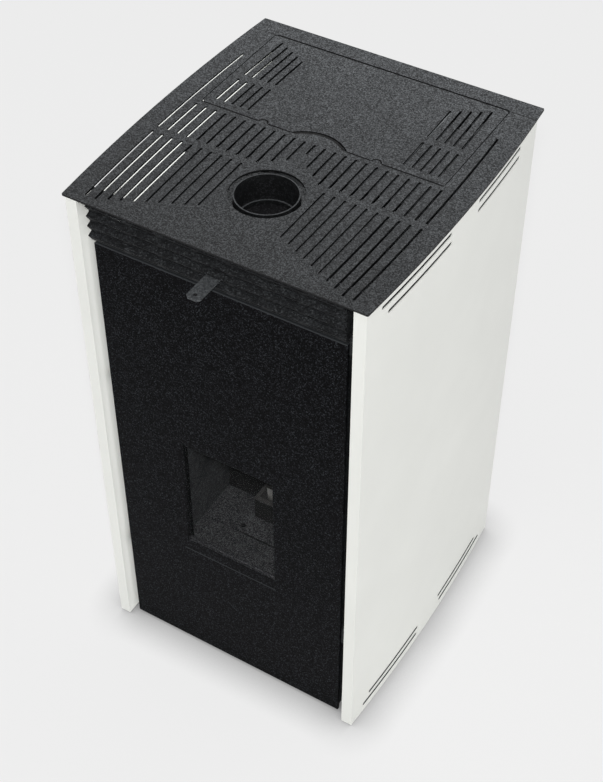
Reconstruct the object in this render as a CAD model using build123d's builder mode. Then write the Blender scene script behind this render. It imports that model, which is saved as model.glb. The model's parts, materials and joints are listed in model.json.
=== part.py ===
from build123d import *
import os
from math import cos, radians, sin, sqrt

os.makedirs("parts", exist_ok=True)

# A freestanding pellet stove with a flush top plate. Millimetres, +Z up.
# The origin lies on the floor, midway across the width and midway along the plate.
# The door faces -Y and its hinge side is +X.
# A "depth" is a distance behind the front edge of the top plate.

# ---- Case ----
stove_height = 1000.0          # floor to the upper face of the top plate
plate_depth = 562.0
plate_corner_half = 257.5      # half width of the top plate at its corners
plate_bow = 11.5               # how far each side of the plate swells at mid depth
plate_sheet = 3.0
plate_corner_radius = 2.5
case_corner_half = 254.2       # half width of the case at its corners
case_bow = 10.7
case_set_back = 3.2            # the plate overhangs the case front by this much
case_rear_lip = 16.0           # and the case rear by this much
case_sheet = 1.5
case_floor_gap = 3.0
front_flange_width = 20.5
rear_flange_width = 20.0
fit_gap = 0.3                  # between pieces that are fitted, not welded
inner_sheet = 1.5

# ---- Base and feet ----
base_sheet = 2.0
base_height = 14.0             # underside of the base plate
foot_radius = 18.0
foot_disc = 6.0
foot_stud_radius = 4.0
foot_edge = 2.0                # chamfer of the studs
foot_stud_rise = 8.0           # stud above the base plate
foot_spread = 400.0
foot_front_depth = 75.0
foot_rear_depth = 510.0

# ---- Front mask behind the door ----
mask_depth = 40.0
mask_half = 248.0
fire_mouth_half = 95.0
fire_mouth_bottom = 262.0
fire_mouth_top = 560.0
ash_mouth_half = 114.0
ash_mouth_bottom = 134.0
ash_mouth_top = 230.0
air_mouth_half = 205.0
air_mouth_bottom = 925.0
air_mouth_top = 982.0

# ---- Louvre above the door ----
louvre_half = 219.5
louvre_tip_depth = 4.0
louvre_root_depth = 12.5
louvre_top_tip = 989.5
louvre_pitch = 18.3
louvre_teeth = 4
louvre_rise = 4.2              # from a tip up to the root over it
louvre_drop = 12.3             # from a tip down to the root under it
louvre_press = (1.7, -0.5)     # back face from front face, depth and height
louvre_slot_width = 5.0
louvre_slot_length = 48.0
louvre_slot_pitch = 60.0
louvre_slots = 7
louvre_lug_bottom = 925.0

# ---- Slots in the top plate and lid ----
slot_width = 4.0
slot_pitch = 18.0              # across the widest part of the plate
mid_slot_front = 212.0
mid_slot_rear = 295.0
mid_slot_last = 12             # slots on each side of the centre line
mid_slot_late = {0: 56.0, 1: 28.0, 2: 14.0}        # shorter by this much behind the flue
long_slot_rear = 452.0
fore_slot_first = 4
fore_slot_last = 13
fore_slot_rear = 200.0
fore_slot_front = 80.0         # front end of the first one
fore_slot_step = 8.0           # each next one starts this much further forward
lid_slot_first = 137.0
lid_slot_pitch = 14.7
lid_slots = 5
lid_slot_front = 320.0
lid_slot_gap_front = 386.0
lid_slot_gap_rear = 400.0
lid_slot_rear = 481.0
lid_slot_step = 7.75

# ---- Flue and damper ----
flue_depth = 155.4
flue_opening_radius = 58.0
flue_tube_radius = 50.0
flue_bore_radius = 45.0
flue_socket_radius = 48.0
flue_socket_bottom = 953.0
flue_rim_drop = 1.0            # rim below the upper face of the plate
flue_flange_radius = 64.0
flue_flange_sheet = 3.0
flue_deck_gap = 1.0            # round the collar where it passes the deck
damper_radius = 43.0
damper_sheet = 3.0
damper_drop = 39.5             # underside of the damper plate under that of the deck
damper_neck = 24.0
damper_tip_depth = -46.0
damper_tip_chamfer = 5.0
damper_hole_radius = 2.5
damper_hole_inset = 10.0
damper_side_gap = 1.5
guide_front_depth = 62.0
guide_length = 36.0
guide_half = 47.5

# ---- Hopper lid ----
lid_half = 214.0
lid_front_depth = 305.6
lid_rear_depth = 527.2
lid_corner = 6.0
lid_sheet = 3.0
lid_seam = 1.4
lid_rear_seam = 2.5
lid_recess_half = 49.0         # half chord of the shallow arc behind the flue
lid_recess_deep = 20.5
lid_recess_gap = 2.7
lid_notch_place = 100.0
lid_notch_half = 9.0
lid_notch_deep = 7.0
lid_axis_depth = 517.0
lid_axis_drop = 8.0            # hinge axis below the upper face of the plate
lid_pin_radius = 2.0
lid_pin_play = 0.08
lid_ear_place = 171.0
lid_ear_sheet = 2.0
lid_ear_radius = 5.0
lid_bracket_radius = 4.0
lid_bracket_front_depth = 490.0
pan_margin = 1.0               # pan over the outside of the gasket
pan_deep = 8.0
pan_sheet = 1.5

# ---- Inner casing, decks, hopper ----
casing_half = 184.0            # inner face of each inner casing panel
casing_fore_drop = 64.0        # panels are lower by this much beside the front deck
casing_tail_drop = 18.0        # and by this much under the swing of the lid's tail
casing_tail_gap = 8.0          # from the lid brackets to where the tail begins
fore_deck_half = 166.0
fore_deck_skirt = 92.0         # its sides are turned down this far
fore_deck_rear_depth = 212.0
hopper_deck_front_depth = 252.0
deck_margin = 11.0             # hopper deck behind the hopper mouth
deck_notch_run = 28.0          # notches of the deck start before the lid brackets
bracket_foot = 24.0            # lid brackets reach this far under the deck
hopper_half = 128.0            # inside the mouth
hopper_set_back = 115.0        # behind the firebox
hopper_rear_depth = 503.0
hopper_straight_bottom = 780.0
hopper_bottom = 500.0
throat_half = 28.0
throat_set_back = 14.0         # behind the front wall of the mouth
throat_length = 70.0
hopper_flange = 6.0
gasket_width = 7.0
gasket_free_height = 3.2
shield_gap = 11.0              # between the firebox and the heat shield
shield_bottom = 300.0
shield_slot_margin = 20.0      # over the auger tube

# ---- Auger ----
auger_foot_back = 20.0         # lower end of the axis behind the throat
auger_foot_drop = 140.0        # and under the hopper's foot
auger_tube_length = 262.0
auger_tube_radius = 30.0
auger_tube_wall = 3.0
auger_end_plate = 4.0
auger_radius = 25.5
auger_shaft_radius = 6.0
auger_pitch = 50.0
auger_flight = 3.0
weld_bite = 1.0                # flight sunk into the shaft
auger_flight_start = 8.0
auger_flight_length = 205.0
auger_shaft_play = 0.06
auger_shaft_tail = 18.0        # shaft inside the gearbox
auger_shaft_nose = 6.0         # shaft past the upper end plate
gearbox_radius = 36.0
gearbox_length = 36.0
gear_motor_radius = 27.0
gear_motor_length = 52.0
chute_half = 22.0
chute_sheet = 2.0
chute_mouth_bottom = 430.0
chute_mouth_top = 500.0
chute_lap = 48.0               # length of tube that the chute covers
chute_end_gap = 3.0            # front end of the tube to the chute's top corner
chute_sink = 5.0               # top edge of the chute under the axis of the tube

# ---- Firebox ----
firebox_half = 148.0
firebox_rear_depth = 221.0
firebox_bottom = 236.0
firebox_top = 640.0
firebox_sheet = 3.0
lining_sheet = 25.0
lining_top = 600.0
floor_top = 255.0
floor_sheet = 6.0
floor_split_depth = 107.0
floor_split = 1.0
finger_hole = (-44.0, 122.0)   # across, depth
finger_hole_radius = 5.5
baffle_sheet = 12.0
baffle_front_depth = 92.0
ash_drop_half = 80.0
ash_drop_front_depth = 60.0
ash_drop_rear_depth = 138.0
holder_half = 40.0
holder_front_depth = 152.0
holder_top = 302.0
holder_wall = 3.0
pot_wall = 3.0
pot_play = 2.0                 # pot inside its holder
pot_taper_side = 5.0           # the foot of the pot is narrower on each side
pot_taper_fore = 3.0           # and at front and rear
pot_rim = 3.0
pot_floor = 266.0
pot_hole_radius = 2.5
igniter_radius = 5.0
igniter_place = 8.0

# ---- Smoke box ----
smoke_half = 120.0
smoke_front_depth = 60.0
smoke_top = 880.0
smoke_port_half = 100.0
fin_width = 26.0
fin_sheet = 2.0
fin_count = 7
fin_pitch = 20.0
fin_margin = 25.0

# ---- Ash bay and drawer ----
bay_half = 118.0
bay_floor = 130.0
drawer_half = 112.0
drawer_front_depth = 44.0
drawer_length = 168.0
drawer_height = 92.0
drawer_sheet = 1.5
pull_drop = 14.0               # top of the finger pull under the rim of the drawer
pull_reach = 7.0
pull_slope = 6.0
pull_tall = 24.0
pull_sheet = 2.0
pull_weld = 0.5                # sunk into the front of the drawer

# ---- Combustion blower ----
blower_depth = 340.0
blower_height = 228.0
blower_radius = 60.0
blower_half = 22.0
blower_sheet = 2.0
duct_height = 32.0
eye_radius = 23.0
wheel_radius = 44.0
wheel_hub_radius = 9.0
wheel_shaft_radius = 4.0
wheel_half = 14.0
wheel_blades = 18
wheel_blade_length = 11.0
wheel_blade_sheet = 1.6
wheel_blade_turn = 35.0
wheel_ring = 9.0
motor_radius = 36.0
motor_length = 50.0
motor_seat = 24.0
stand_half = 18.0
stand_front_depth = 305.0
stand_rear_depth = 375.0
intake_place = -75.0
intake_radius = 25.0
intake_wall = 2.0
intake_bend = 35.0
intake_reach_depth = 608.0
intake_flange_radius = 34.0
intake_flange_sheet = 2.0

# ---- Electrics ----
control_front_depth = 380.0
control_length = 140.0
control_bottom = 300.0
control_height = 180.0
control_width = 46.0
control_lid = 3.0
socket_place = 206.0           # centre line of the socket, switch and reset
socket_plate_inner = 176.0     # the plate they sit in fills the rear panel's lower corner
socket_plate_top = 218.0
cutout_gap = 0.3               # round the socket and the switch
inlet_height = 90.0
inlet_half = 14.0
inlet_tall = 25.0
inlet_body = 24.0
inlet_flange = 3.0
inlet_recess_half = 12.0
inlet_recess_tall = 8.5
inlet_recess_deep = 15.0
switch_height = 150.0
switch_half = 11.0
switch_tall = 13.0
switch_body = 20.0
switch_flange = 2.0
rocker_radius = 10.0
rocker_half = 7.5
rocker_gap = 0.4
rocker_pin_radius = 1.5
rocker_pin_length = 1.5
rocker_tilt = 8.0
rocker_face = 5.0              # pivot to the middle of the rocker's face
rocker_sink = 2.5              # pivot in front of the rear panel's outer face
reset_height = 196.0
reset_radius = 6.0
reset_cap_radius = 8.5
reset_cap = 9.0
reset_body = 16.0

# ---- Rear panel and vents ----
rear_panel_inset = 4.0         # inside the corners of the case
rear_panel_lift = 5.0          # over the lower edge of the case
rear_panel_drop = 3.0          # under the top plate
side_vent_width = 7.0
side_vents = [                 # height, front depth, rear depth
    (980.0, 40.6, 236.4),
    (962.0, 57.9, 237.6),
    (979.0, 323.0, 479.0),
    (962.0, 322.0, 479.0),
    (40.0, 59.0, 234.0),
    (23.0, 40.0, 231.0),
    (42.0, 314.0, 480.0),
    (25.0, 320.0, 504.0),
]
rear_vent_length = 60.0
rear_vent_width = 5.0
rear_vent_pitch = 76.0
rear_vent_columns = 5
rear_vent_rows = (840.0, 855.0, 870.0, 885.0)

# ---- Door ----
door_half = 219.5
door_bottom = 10.0
door_top = 914.0
glass_depth = 15.0
glass_sheet = 5.0
glass_corner_radius = 2.0
glass_edge = 0.6               # ground edge of the front face
frame_inset = 3.5              # steel frame inside the edge of the glass
frame_sheet = 2.0
frame_deep = 14.0
window_half = 86.0
window_bottom = 302.0
window_top = 538.0
pane_margin = 12.0
pane_sheet = 4.0
retainer_sheet = 2.0
retainer_lap = 4.0
seal_margin = 6.0              # seal ring outside the fire mouth
seal_width = 8.0
seal_wall = 1.8
seal_base = 9.5
hinge_place = 226.5
hinge_depth = 19.5
knuckle_radius = 5.5
knuckle_tall = 19.7
hinge_pin_radius = 3.0
hinge_pin_play = 0.08
hinge_pin_reach = 17.0         # pin inside the moving knuckle
lower_hinge = 238.15           # where the lower pair of knuckles meet
upper_hinge = 918.0
hinge_arm_sheet = 3.0
catch_heights = (619.0, 204.0)
catch_tall = 20.0
catch_sheet = 1.5
catch_set_back = 3.0           # behind the front of the door frame
catch_place = 223.75           # middle of each tongue
catch_tip_depth = 37.0
striker_gap = 1.1
striker_leaf = 1.0
striker_front_depth = 28.0

# ---- Worked out from the above ----
front = -plate_depth / 2
plate_bottom = stove_height - plate_sheet
lid_underside = stove_height - lid_sheet
deck_height = lid_underside - pan_deep - fit_gap - gasket_free_height - inner_sheet
damper_height = deck_height - damper_drop
hopper_deck_rear_depth = hopper_rear_depth + deck_margin
deck_notch_half = hopper_half + gasket_width
deck_notch_depth = lid_bracket_front_depth - deck_notch_run
hopper_front_depth = firebox_rear_depth + hopper_set_back
throat_front_depth = hopper_front_depth + throat_set_back
throat_rear_depth = throat_front_depth + throat_length
auger_foot_depth = throat_rear_depth + auger_foot_back
auger_foot_height = hopper_bottom - auger_foot_drop
shield_depth = firebox_rear_depth + shield_gap
case_length = plate_depth - case_rear_lip - case_set_back
case_rear_depth = plate_depth - case_rear_lip
rear_panel_depth = case_rear_depth
rear_face_depth = rear_panel_depth + inner_sheet
rear_panel_half = case_corner_half - rear_panel_inset
rear_panel_bottom = case_floor_gap + rear_panel_lift
rear_panel_top = plate_bottom - rear_panel_drop
base_top = base_height + base_sheet
mask_back_depth = mask_depth + inner_sheet
casing_rear_depth = rear_panel_depth - fit_gap
deck_top = deck_height + inner_sheet
lid_axis_height = stove_height - lid_axis_drop
recess_radius = (lid_recess_half**2 + lid_recess_deep**2) / (2 * lid_recess_deep)
recess_centre_depth = lid_front_depth + lid_recess_deep - recess_radius
notch_radius = (lid_notch_half**2 + lid_notch_deep**2) / (2 * lid_notch_deep)
notch_centre_depth = lid_front_depth + lid_notch_deep - notch_radius
lining_front_depth = mask_back_depth + fit_gap
lining_back_depth = firebox_rear_depth - firebox_sheet - fit_gap
hearth_half = firebox_half - firebox_sheet - fit_gap - lining_sheet
hearth_rear_depth = lining_back_depth - lining_sheet
fire_half = hearth_half - fit_gap
duct_top = blower_height + blower_radius
duct_bottom = duct_top - duct_height
air_port_half = blower_half - blower_sheet
air_port_bottom = duct_bottom + blower_sheet
air_port_top = duct_top - blower_sheet


def at(depth):
    """Y of a point this far behind the front edge of the top plate."""
    return front + depth


def bowed_half(y, corner_half, bow, length, middle, inset=0.0):
    """Half width at y of a plan outline whose sides are arcs."""
    radius = ((length / 2) ** 2 + bow**2) / (2 * bow)
    return corner_half + bow - radius + sqrt((radius - inset) ** 2 - (y - middle) ** 2)


def plate_half_at(y):
    return bowed_half(y, plate_corner_half, plate_bow, plate_depth, 0.0)


def case_half_at(y, inset=0.0):
    middle = at(case_set_back + case_length / 2)
    return bowed_half(y, case_corner_half, case_bow, case_length, middle, inset)


def cross_plane(depth):
    """Upright plane across the stove, facing the front. A minus extrusion goes to the rear."""
    return Plane.XZ.offset(-at(depth))


def rect(u_low, u_high, v_low, v_high, mode=Mode.ADD):
    """Rectangle of a sketch, given by its limits."""
    with Locations(((u_low + u_high) / 2, (v_low + v_high) / 2)):
        Rectangle(u_high - u_low, v_high - v_low, mode=mode)


def block(x_low, x_high, y_low, y_high, z_low, z_high, mode=Mode.ADD):
    """Straight-sided block of a part, given by its limits."""
    with Locations(((x_low + x_high) / 2, (y_low + y_high) / 2, (z_low + z_high) / 2)):
        Box(x_high - x_low, y_high - y_low, z_high - z_low, mode=mode)


def bowed_outline(half_at, y_front, y_rear):
    """Closed plan outline with straight ends and bowed sides."""
    y_mid = (y_front + y_rear) / 2
    with BuildLine() as outline:
        right = ThreePointArc(
            (half_at(y_front), y_front), (half_at(y_mid), y_mid), (half_at(y_rear), y_rear)
        )
        left = ThreePointArc(
            (-half_at(y_front), y_front), (-half_at(y_mid), y_mid), (-half_at(y_rear), y_rear)
        )
        Line(right @ 0, left @ 0)
        Line(right @ 1, left @ 1)
    make_face(outline.edges())


def flow_slot(share, depth_front, depth_rear):
    """Slot that follows the bow of the plate, at this share of the half width."""
    ends = (at(depth_front) + slot_width / 2, at(depth_rear) - slot_width / 2)
    middle = (ends[0] + ends[1]) / 2
    points = [Vector(share * plate_half_at(y), y) for y in (ends[0], middle, ends[1])]
    straight = Line(points[0], points[2], mode=Mode.PRIVATE)
    if (straight @ 0.5 - points[1]).length < 0.05:
        SlotArc(straight, slot_width)
    else:
        SlotArc(ThreePointArc(*points, mode=Mode.PRIVATE), slot_width)


def save(piece, name):
    piece.part.label = name
    export_step(piece.part, f"parts/{name}.step")


# ---- Base ----
with BuildPart() as base_plate:
    with BuildSketch(Plane.XY.offset(base_height)):
        bowed_outline(
            lambda y: case_half_at(y, case_sheet + fit_gap),
            at(mask_depth),
            at(case_rear_depth - case_sheet - fit_gap),
        )
        for side in (-1, 1):
            for depth in (foot_front_depth, foot_rear_depth):
                with Locations((side * foot_spread / 2, at(depth))):
                    Circle(foot_stud_radius + fit_gap, mode=Mode.SUBTRACT)
    extrude(amount=base_sheet)
save(base_plate, "base_plate")

with BuildPart() as levelling_feet:
    foot_places = [
        (side * foot_spread / 2, at(depth))
        for side in (-1, 1)
        for depth in (foot_front_depth, foot_rear_depth)
    ]
    with BuildSketch(Plane.XY):
        with Locations(*foot_places):
            Circle(foot_radius)
    extrude(amount=foot_disc)
    chamfer(levelling_feet.faces().filter_by(Axis.Z).group_by(Axis.Z)[-1].edges(), foot_edge)
    with BuildSketch(Plane.XY.offset(foot_disc)):
        with Locations(*foot_places):
            RegularPolygon(foot_stud_radius * 2, 6)
    extrude(amount=base_height - foot_disc)
    with BuildSketch(Plane.XY.offset(base_height)):
        with Locations(*foot_places):
            Circle(foot_stud_radius)
    extrude(amount=base_sheet + foot_stud_rise)
save(levelling_feet, "levelling_feet")

# ---- Side panels: bowed sheet with a front flange, its return and a rear flange ----
with BuildPart() as side_panel_right:
    flange_edge = case_corner_half - front_flange_width
    with BuildSketch(Plane.XY.offset(case_floor_gap)):
        bowed_outline(case_half_at, at(case_set_back), at(case_rear_depth))
        with BuildSketch(mode=Mode.PRIVATE) as hollow:
            bowed_outline(
                lambda y: case_half_at(y, case_sheet),
                at(case_set_back + case_sheet),
                at(case_rear_depth - case_sheet),
            )
        add(hollow.sketch, mode=Mode.SUBTRACT)
        rect(-2 * case_corner_half, flange_edge, at(0), at(case_rear_depth - 1), Mode.SUBTRACT)
        rect(
            -2 * case_corner_half,
            case_corner_half - rear_flange_width,
            at(case_rear_depth - 2 * case_sheet),
            at(plate_depth),
            Mode.SUBTRACT,
        )
        rect(flange_edge, flange_edge + case_sheet, at(case_set_back), at(mask_depth))
    extrude(amount=plate_bottom - case_floor_gap)
    with BuildSketch(Plane.YZ.offset(case_corner_half - 6 * case_sheet)):
        for height, depth_front, depth_rear in side_vents:
            with Locations((at((depth_front + depth_rear) / 2), height)):
                SlotOverall(depth_rear - depth_front, side_vent_width)
    extrude(amount=case_bow + 8 * case_sheet, mode=Mode.SUBTRACT)
save(side_panel_right, "side_panel_right")

with BuildPart() as side_panel_left:
    mirror(side_panel_right.part, about=Plane.YZ)
save(side_panel_left, "side_panel_left")

# ---- Rear panel, and the socket plate in its lower corner ----
with BuildPart() as rear_panel:
    with BuildSketch(cross_plane(rear_panel_depth)):
        rect(-rear_panel_half, rear_panel_half, rear_panel_bottom, rear_panel_top)
        rect(
            socket_plate_inner,
            case_corner_half,
            case_floor_gap,
            socket_plate_top,
            Mode.SUBTRACT,
        )
        with Locations((intake_place, blower_height)):
            Circle(intake_radius - intake_wall, mode=Mode.SUBTRACT)
        for row in rear_vent_rows:
            with Locations((0, row)):
                with GridLocations(rear_vent_pitch, 1, rear_vent_columns, 1):
                    SlotOverall(rear_vent_length, rear_vent_width, mode=Mode.SUBTRACT)
    extrude(amount=-inner_sheet)
save(rear_panel, "rear_panel")

with BuildPart() as socket_plate:
    with BuildSketch(cross_plane(rear_panel_depth)):
        rect(
            socket_plate_inner + fit_gap,
            rear_panel_half,
            rear_panel_bottom,
            socket_plate_top - fit_gap,
        )
        with Locations((socket_place, inlet_height)):
            Rectangle(
                2 * (inlet_half + cutout_gap), 2 * (inlet_tall + cutout_gap), mode=Mode.SUBTRACT
            )
        with Locations((socket_place, switch_height)):
            Rectangle(
                2 * (switch_half + cutout_gap), 2 * (switch_tall + cutout_gap), mode=Mode.SUBTRACT
            )
        with Locations((socket_place, reset_height)):
            Circle(reset_radius + fit_gap, mode=Mode.SUBTRACT)
    extrude(amount=-inner_sheet)
save(socket_plate, "socket_plate")

# ---- Top plate ----
with BuildSketch() as lid_opening:
    rect(
        -lid_half - lid_seam,
        lid_half + lid_seam,
        at(lid_front_depth) - lid_seam,
        at(lid_rear_depth) + lid_rear_seam,
    )
    fillet(lid_opening.vertices(), lid_corner + lid_seam)
    with Locations((0, at(recess_centre_depth))):
        Circle(recess_radius - lid_recess_gap, mode=Mode.SUBTRACT)
    with Locations(*[(s * lid_notch_place, at(notch_centre_depth)) for s in (-1, 1)]):
        Circle(notch_radius - lid_seam, mode=Mode.SUBTRACT)

with BuildPart() as top_plate:
    with BuildSketch(Plane.XY.offset(plate_bottom)) as plate_plan:
        bowed_outline(plate_half_at, front, -front)
        fillet(plate_plan.vertices(), plate_corner_radius)
        with Locations((0, at(flue_depth))):
            Circle(flue_opening_radius, mode=Mode.SUBTRACT)
        add(lid_opening.sketch, mode=Mode.SUBTRACT)
    extrude(amount=plate_sheet)
    widest = plate_corner_half + plate_bow
    with BuildSketch(Plane.XY.offset(plate_bottom)):
        for number in range(-mid_slot_last, mid_slot_last + 1):
            start = mid_slot_front + mid_slot_late.get(abs(number), 0.0)
            flow_slot(number * slot_pitch / widest, start, mid_slot_rear)
        for side in (-1, 1):
            flow_slot(side * fore_slot_last * slot_pitch / widest, mid_slot_front, long_slot_rear)
            for number in range(fore_slot_first, fore_slot_last + 1):
                start = fore_slot_front - fore_slot_step * (number - fore_slot_first)
                start = max(start, 2 * fore_slot_step)
                flow_slot(side * number * slot_pitch / widest, start, fore_slot_rear)
    extrude(amount=plate_sheet, mode=Mode.SUBTRACT)
save(top_plate, "top_plate")

# ---- Hopper lid, its pan and its hinge ears ----
with BuildPart() as hopper_lid:
    with BuildSketch(Plane.XY.offset(lid_underside)) as lid_plan:
        rect(-lid_half, lid_half, at(lid_front_depth), at(lid_rear_depth))
        fillet(lid_plan.vertices(), lid_corner)
        with Locations((0, at(recess_centre_depth))):
            Circle(recess_radius, mode=Mode.SUBTRACT)
        with Locations(*[(s * lid_notch_place, at(notch_centre_depth)) for s in (-1, 1)]):
            Circle(notch_radius, mode=Mode.SUBTRACT)
    extrude(amount=lid_sheet)
    with BuildSketch(Plane.XY.offset(lid_underside)):
        slot_middle = at((lid_slot_gap_front + lid_slot_gap_rear) / 2)
        for number in range(lid_slots):
            across = lid_slot_first + number * lid_slot_pitch
            share = across / plate_half_at(slot_middle)
            rear_end = lid_slot_rear + number * lid_slot_step
            for side in (-1, 1):
                flow_slot(side * share, lid_slot_front, lid_slot_gap_front)
                flow_slot(side * share, lid_slot_gap_rear, rear_end)
    extrude(amount=lid_sheet, mode=Mode.SUBTRACT)
save(hopper_lid, "hopper_lid")

pan_half = hopper_half + gasket_width + pan_margin
pan_front_depth = hopper_front_depth - gasket_width + pan_margin
pan_rear_depth = hopper_rear_depth + gasket_width - pan_margin
with BuildPart() as lid_pan:
    with BuildSketch(Plane.XY.offset(lid_underside - pan_deep)) as pan_plan:
        rect(-pan_half, pan_half, at(pan_front_depth), at(pan_rear_depth))
        fillet(pan_plan.vertices(), 2 * lid_corner)
    extrude(amount=pan_deep)
    with BuildSketch(Plane.XY.offset(lid_underside - pan_deep + pan_sheet)) as pan_hollow:
        rect(
            -pan_half + pan_sheet,
            pan_half - pan_sheet,
            at(pan_front_depth) + pan_sheet,
            at(pan_rear_depth) - pan_sheet,
        )
        fillet(pan_hollow.vertices(), 2 * lid_corner - pan_sheet)
    extrude(amount=pan_deep, mode=Mode.SUBTRACT)
save(lid_pan, "lid_pan")

with BuildPart() as lid_ears:
    with BuildSketch(Plane.YZ.offset(lid_ear_place)):
        with Locations((at(lid_axis_depth), lid_axis_height)):
            Circle(lid_ear_radius)
        rect(
            at(lid_axis_depth) - lid_ear_radius,
            at(lid_axis_depth) + lid_ear_radius,
            lid_axis_height,
            lid_underside,
        )
    extrude(amount=lid_ear_sheet)
    with BuildSketch(Plane.YZ.offset(lid_ear_place)):
        with Locations((at(lid_axis_depth), lid_axis_height)):
            Circle(lid_pin_radius)
    extrude(amount=-2.5 * lid_ear_sheet)
    mirror(about=Plane.YZ)
save(lid_ears, "lid_ears")

bracket_place = lid_ear_place - 1 - lid_ear_sheet
with BuildPart() as lid_hinge_brackets:
    with BuildSketch(Plane.YZ.offset(bracket_place)):
        with Locations((at(lid_axis_depth), lid_axis_height)):
            Circle(lid_bracket_radius)
        rect(
            at(lid_bracket_front_depth),
            at(lid_axis_depth),
            lid_axis_height - lid_bracket_radius,
            lid_axis_height + lid_bracket_radius,
        )
        rect(
            at(lid_bracket_front_depth),
            at(lid_axis_depth) - 2 * lid_bracket_radius,
            deck_height - bracket_foot,
            lid_axis_height,
        )
        with Locations((at(lid_axis_depth), lid_axis_height)):
            Circle(lid_pin_radius + lid_pin_play, mode=Mode.SUBTRACT)
    extrude(amount=lid_ear_sheet)
    block(
        bracket_place,
        casing_half,
        at(lid_bracket_front_depth),
        at(lid_bracket_front_depth) + lid_ear_sheet,
        deck_height - bracket_foot,
        deck_height - lid_ear_sheet,
    )
    mirror(about=Plane.YZ)
save(lid_hinge_brackets, "lid_hinge_brackets")

# ---- Front mask ----
with BuildPart() as front_mask:
    with BuildSketch(cross_plane(mask_depth)):
        rect(-mask_half, mask_half, base_top, plate_bottom)
        rect(
            -fire_mouth_half, fire_mouth_half, fire_mouth_bottom, fire_mouth_top, Mode.SUBTRACT
        )
        rect(-ash_mouth_half, ash_mouth_half, ash_mouth_bottom, ash_mouth_top, Mode.SUBTRACT)
        rect(-air_mouth_half, air_mouth_half, air_mouth_bottom, air_mouth_top, Mode.SUBTRACT)
    extrude(amount=-inner_sheet)
save(front_mask, "front_mask")

# ---- Louvre: one sheet pressed into forward-leaning teeth ----
with BuildPart() as louvre_grille:
    profile = []
    for tooth in range(louvre_teeth):
        tip = louvre_top_tip - tooth * louvre_pitch
        profile.append((louvre_root_depth, tip + louvre_rise))
        profile.append((louvre_tip_depth, tip))
        profile.append((louvre_root_depth - 0.5, tip - louvre_drop))
    pressed = [(d + louvre_press[0], z + louvre_press[1]) for d, z in reversed(profile)]
    with BuildSketch(Plane.YZ):
        with BuildLine():
            Polyline(*[(at(d), z) for d, z in profile + pressed], close=True)
        make_face()
    extrude(amount=louvre_half, both=True)
    with BuildSketch(cross_plane(0)):
        for tooth in range(louvre_teeth):
            leaf_middle = louvre_top_tip - tooth * louvre_pitch - louvre_drop / 2
            with Locations((0, leaf_middle)):
                with GridLocations(louvre_slot_pitch, 1, louvre_slots, 1):
                    SlotOverall(louvre_slot_length, louvre_slot_width)
    extrude(amount=-2 * louvre_root_depth, mode=Mode.SUBTRACT)
    neck_room = damper_neck / 2 + 3
    block(
        -neck_room,
        neck_room,
        at(0),
        at(2 * louvre_root_depth),
        damper_height - 3,
        damper_height + damper_sheet + 3,
        mode=Mode.SUBTRACT,
    )
    for side in (-1, 1):
        with BuildSketch(Plane.YZ.offset(side * louvre_half)):
            rect(at(louvre_root_depth), at(mask_depth), louvre_lug_bottom, louvre_top_tip)
        extrude(amount=-side * inner_sheet)
save(louvre_grille, "louvre_grille")

# ---- Inner casing and decks ----
with BuildPart() as inner_casing_right:
    tail_depth = lid_bracket_front_depth + casing_tail_gap
    with BuildSketch(Plane.YZ.offset(casing_half)):
        rect(at(mask_back_depth), at(casing_rear_depth), base_top, deck_height)
        rect(
            at(0),
            at(fore_deck_rear_depth),
            deck_height - casing_fore_drop,
            stove_height,
            Mode.SUBTRACT,
        )
        rect(
            at(tail_depth),
            at(plate_depth),
            deck_height - casing_tail_drop,
            stove_height,
            Mode.SUBTRACT,
        )
    extrude(amount=inner_sheet)
save(inner_casing_right, "inner_casing_right")

with BuildPart() as inner_casing_left:
    mirror(inner_casing_right.part, about=Plane.YZ)
save(inner_casing_left, "inner_casing_left")

deck_half = casing_half + inner_sheet
with BuildPart() as front_deck:
    with BuildSketch(Plane.XY.offset(deck_height)):
        rect(-fore_deck_half, fore_deck_half, at(mask_back_depth), at(fore_deck_rear_depth))
        with Locations((0, at(flue_depth))):
            Circle(flue_tube_radius + flue_deck_gap, mode=Mode.SUBTRACT)
    extrude(amount=inner_sheet)
    for side in (-1, 1):
        with BuildSketch(Plane.YZ.offset(side * fore_deck_half)):
            rect(
                at(mask_back_depth),
                at(fore_deck_rear_depth),
                deck_height - fore_deck_skirt,
                deck_top,
            )
        extrude(amount=-side * inner_sheet)
save(front_deck, "front_deck")

with BuildPart() as hopper_deck:
    with BuildSketch(Plane.XY.offset(deck_height)):
        rect(-deck_half, deck_half, at(hopper_deck_front_depth), at(hopper_deck_rear_depth))
        rect(
            -hopper_half,
            hopper_half,
            at(hopper_front_depth),
            at(hopper_rear_depth),
            Mode.SUBTRACT,
        )
        for low, high in ((-deck_half, -deck_notch_half), (deck_notch_half, deck_half)):
            rect(low, high, at(deck_notch_depth), at(hopper_deck_rear_depth), Mode.SUBTRACT)
    extrude(amount=inner_sheet)
save(hopper_deck, "hopper_deck")

with BuildPart() as lid_gasket:
    with BuildSketch(Plane.XY.offset(deck_top)) as gasket_plan:
        rect(
            -hopper_half - gasket_width,
            hopper_half + gasket_width,
            at(hopper_front_depth) - gasket_width,
            at(hopper_rear_depth) + gasket_width,
        )
        fillet(gasket_plan.vertices(), gasket_width)
        rect(
            -hopper_half,
            hopper_half,
            at(hopper_front_depth),
            at(hopper_rear_depth),
            Mode.SUBTRACT,
        )
    extrude(amount=gasket_free_height)
save(lid_gasket, "lid_gasket")

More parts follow.
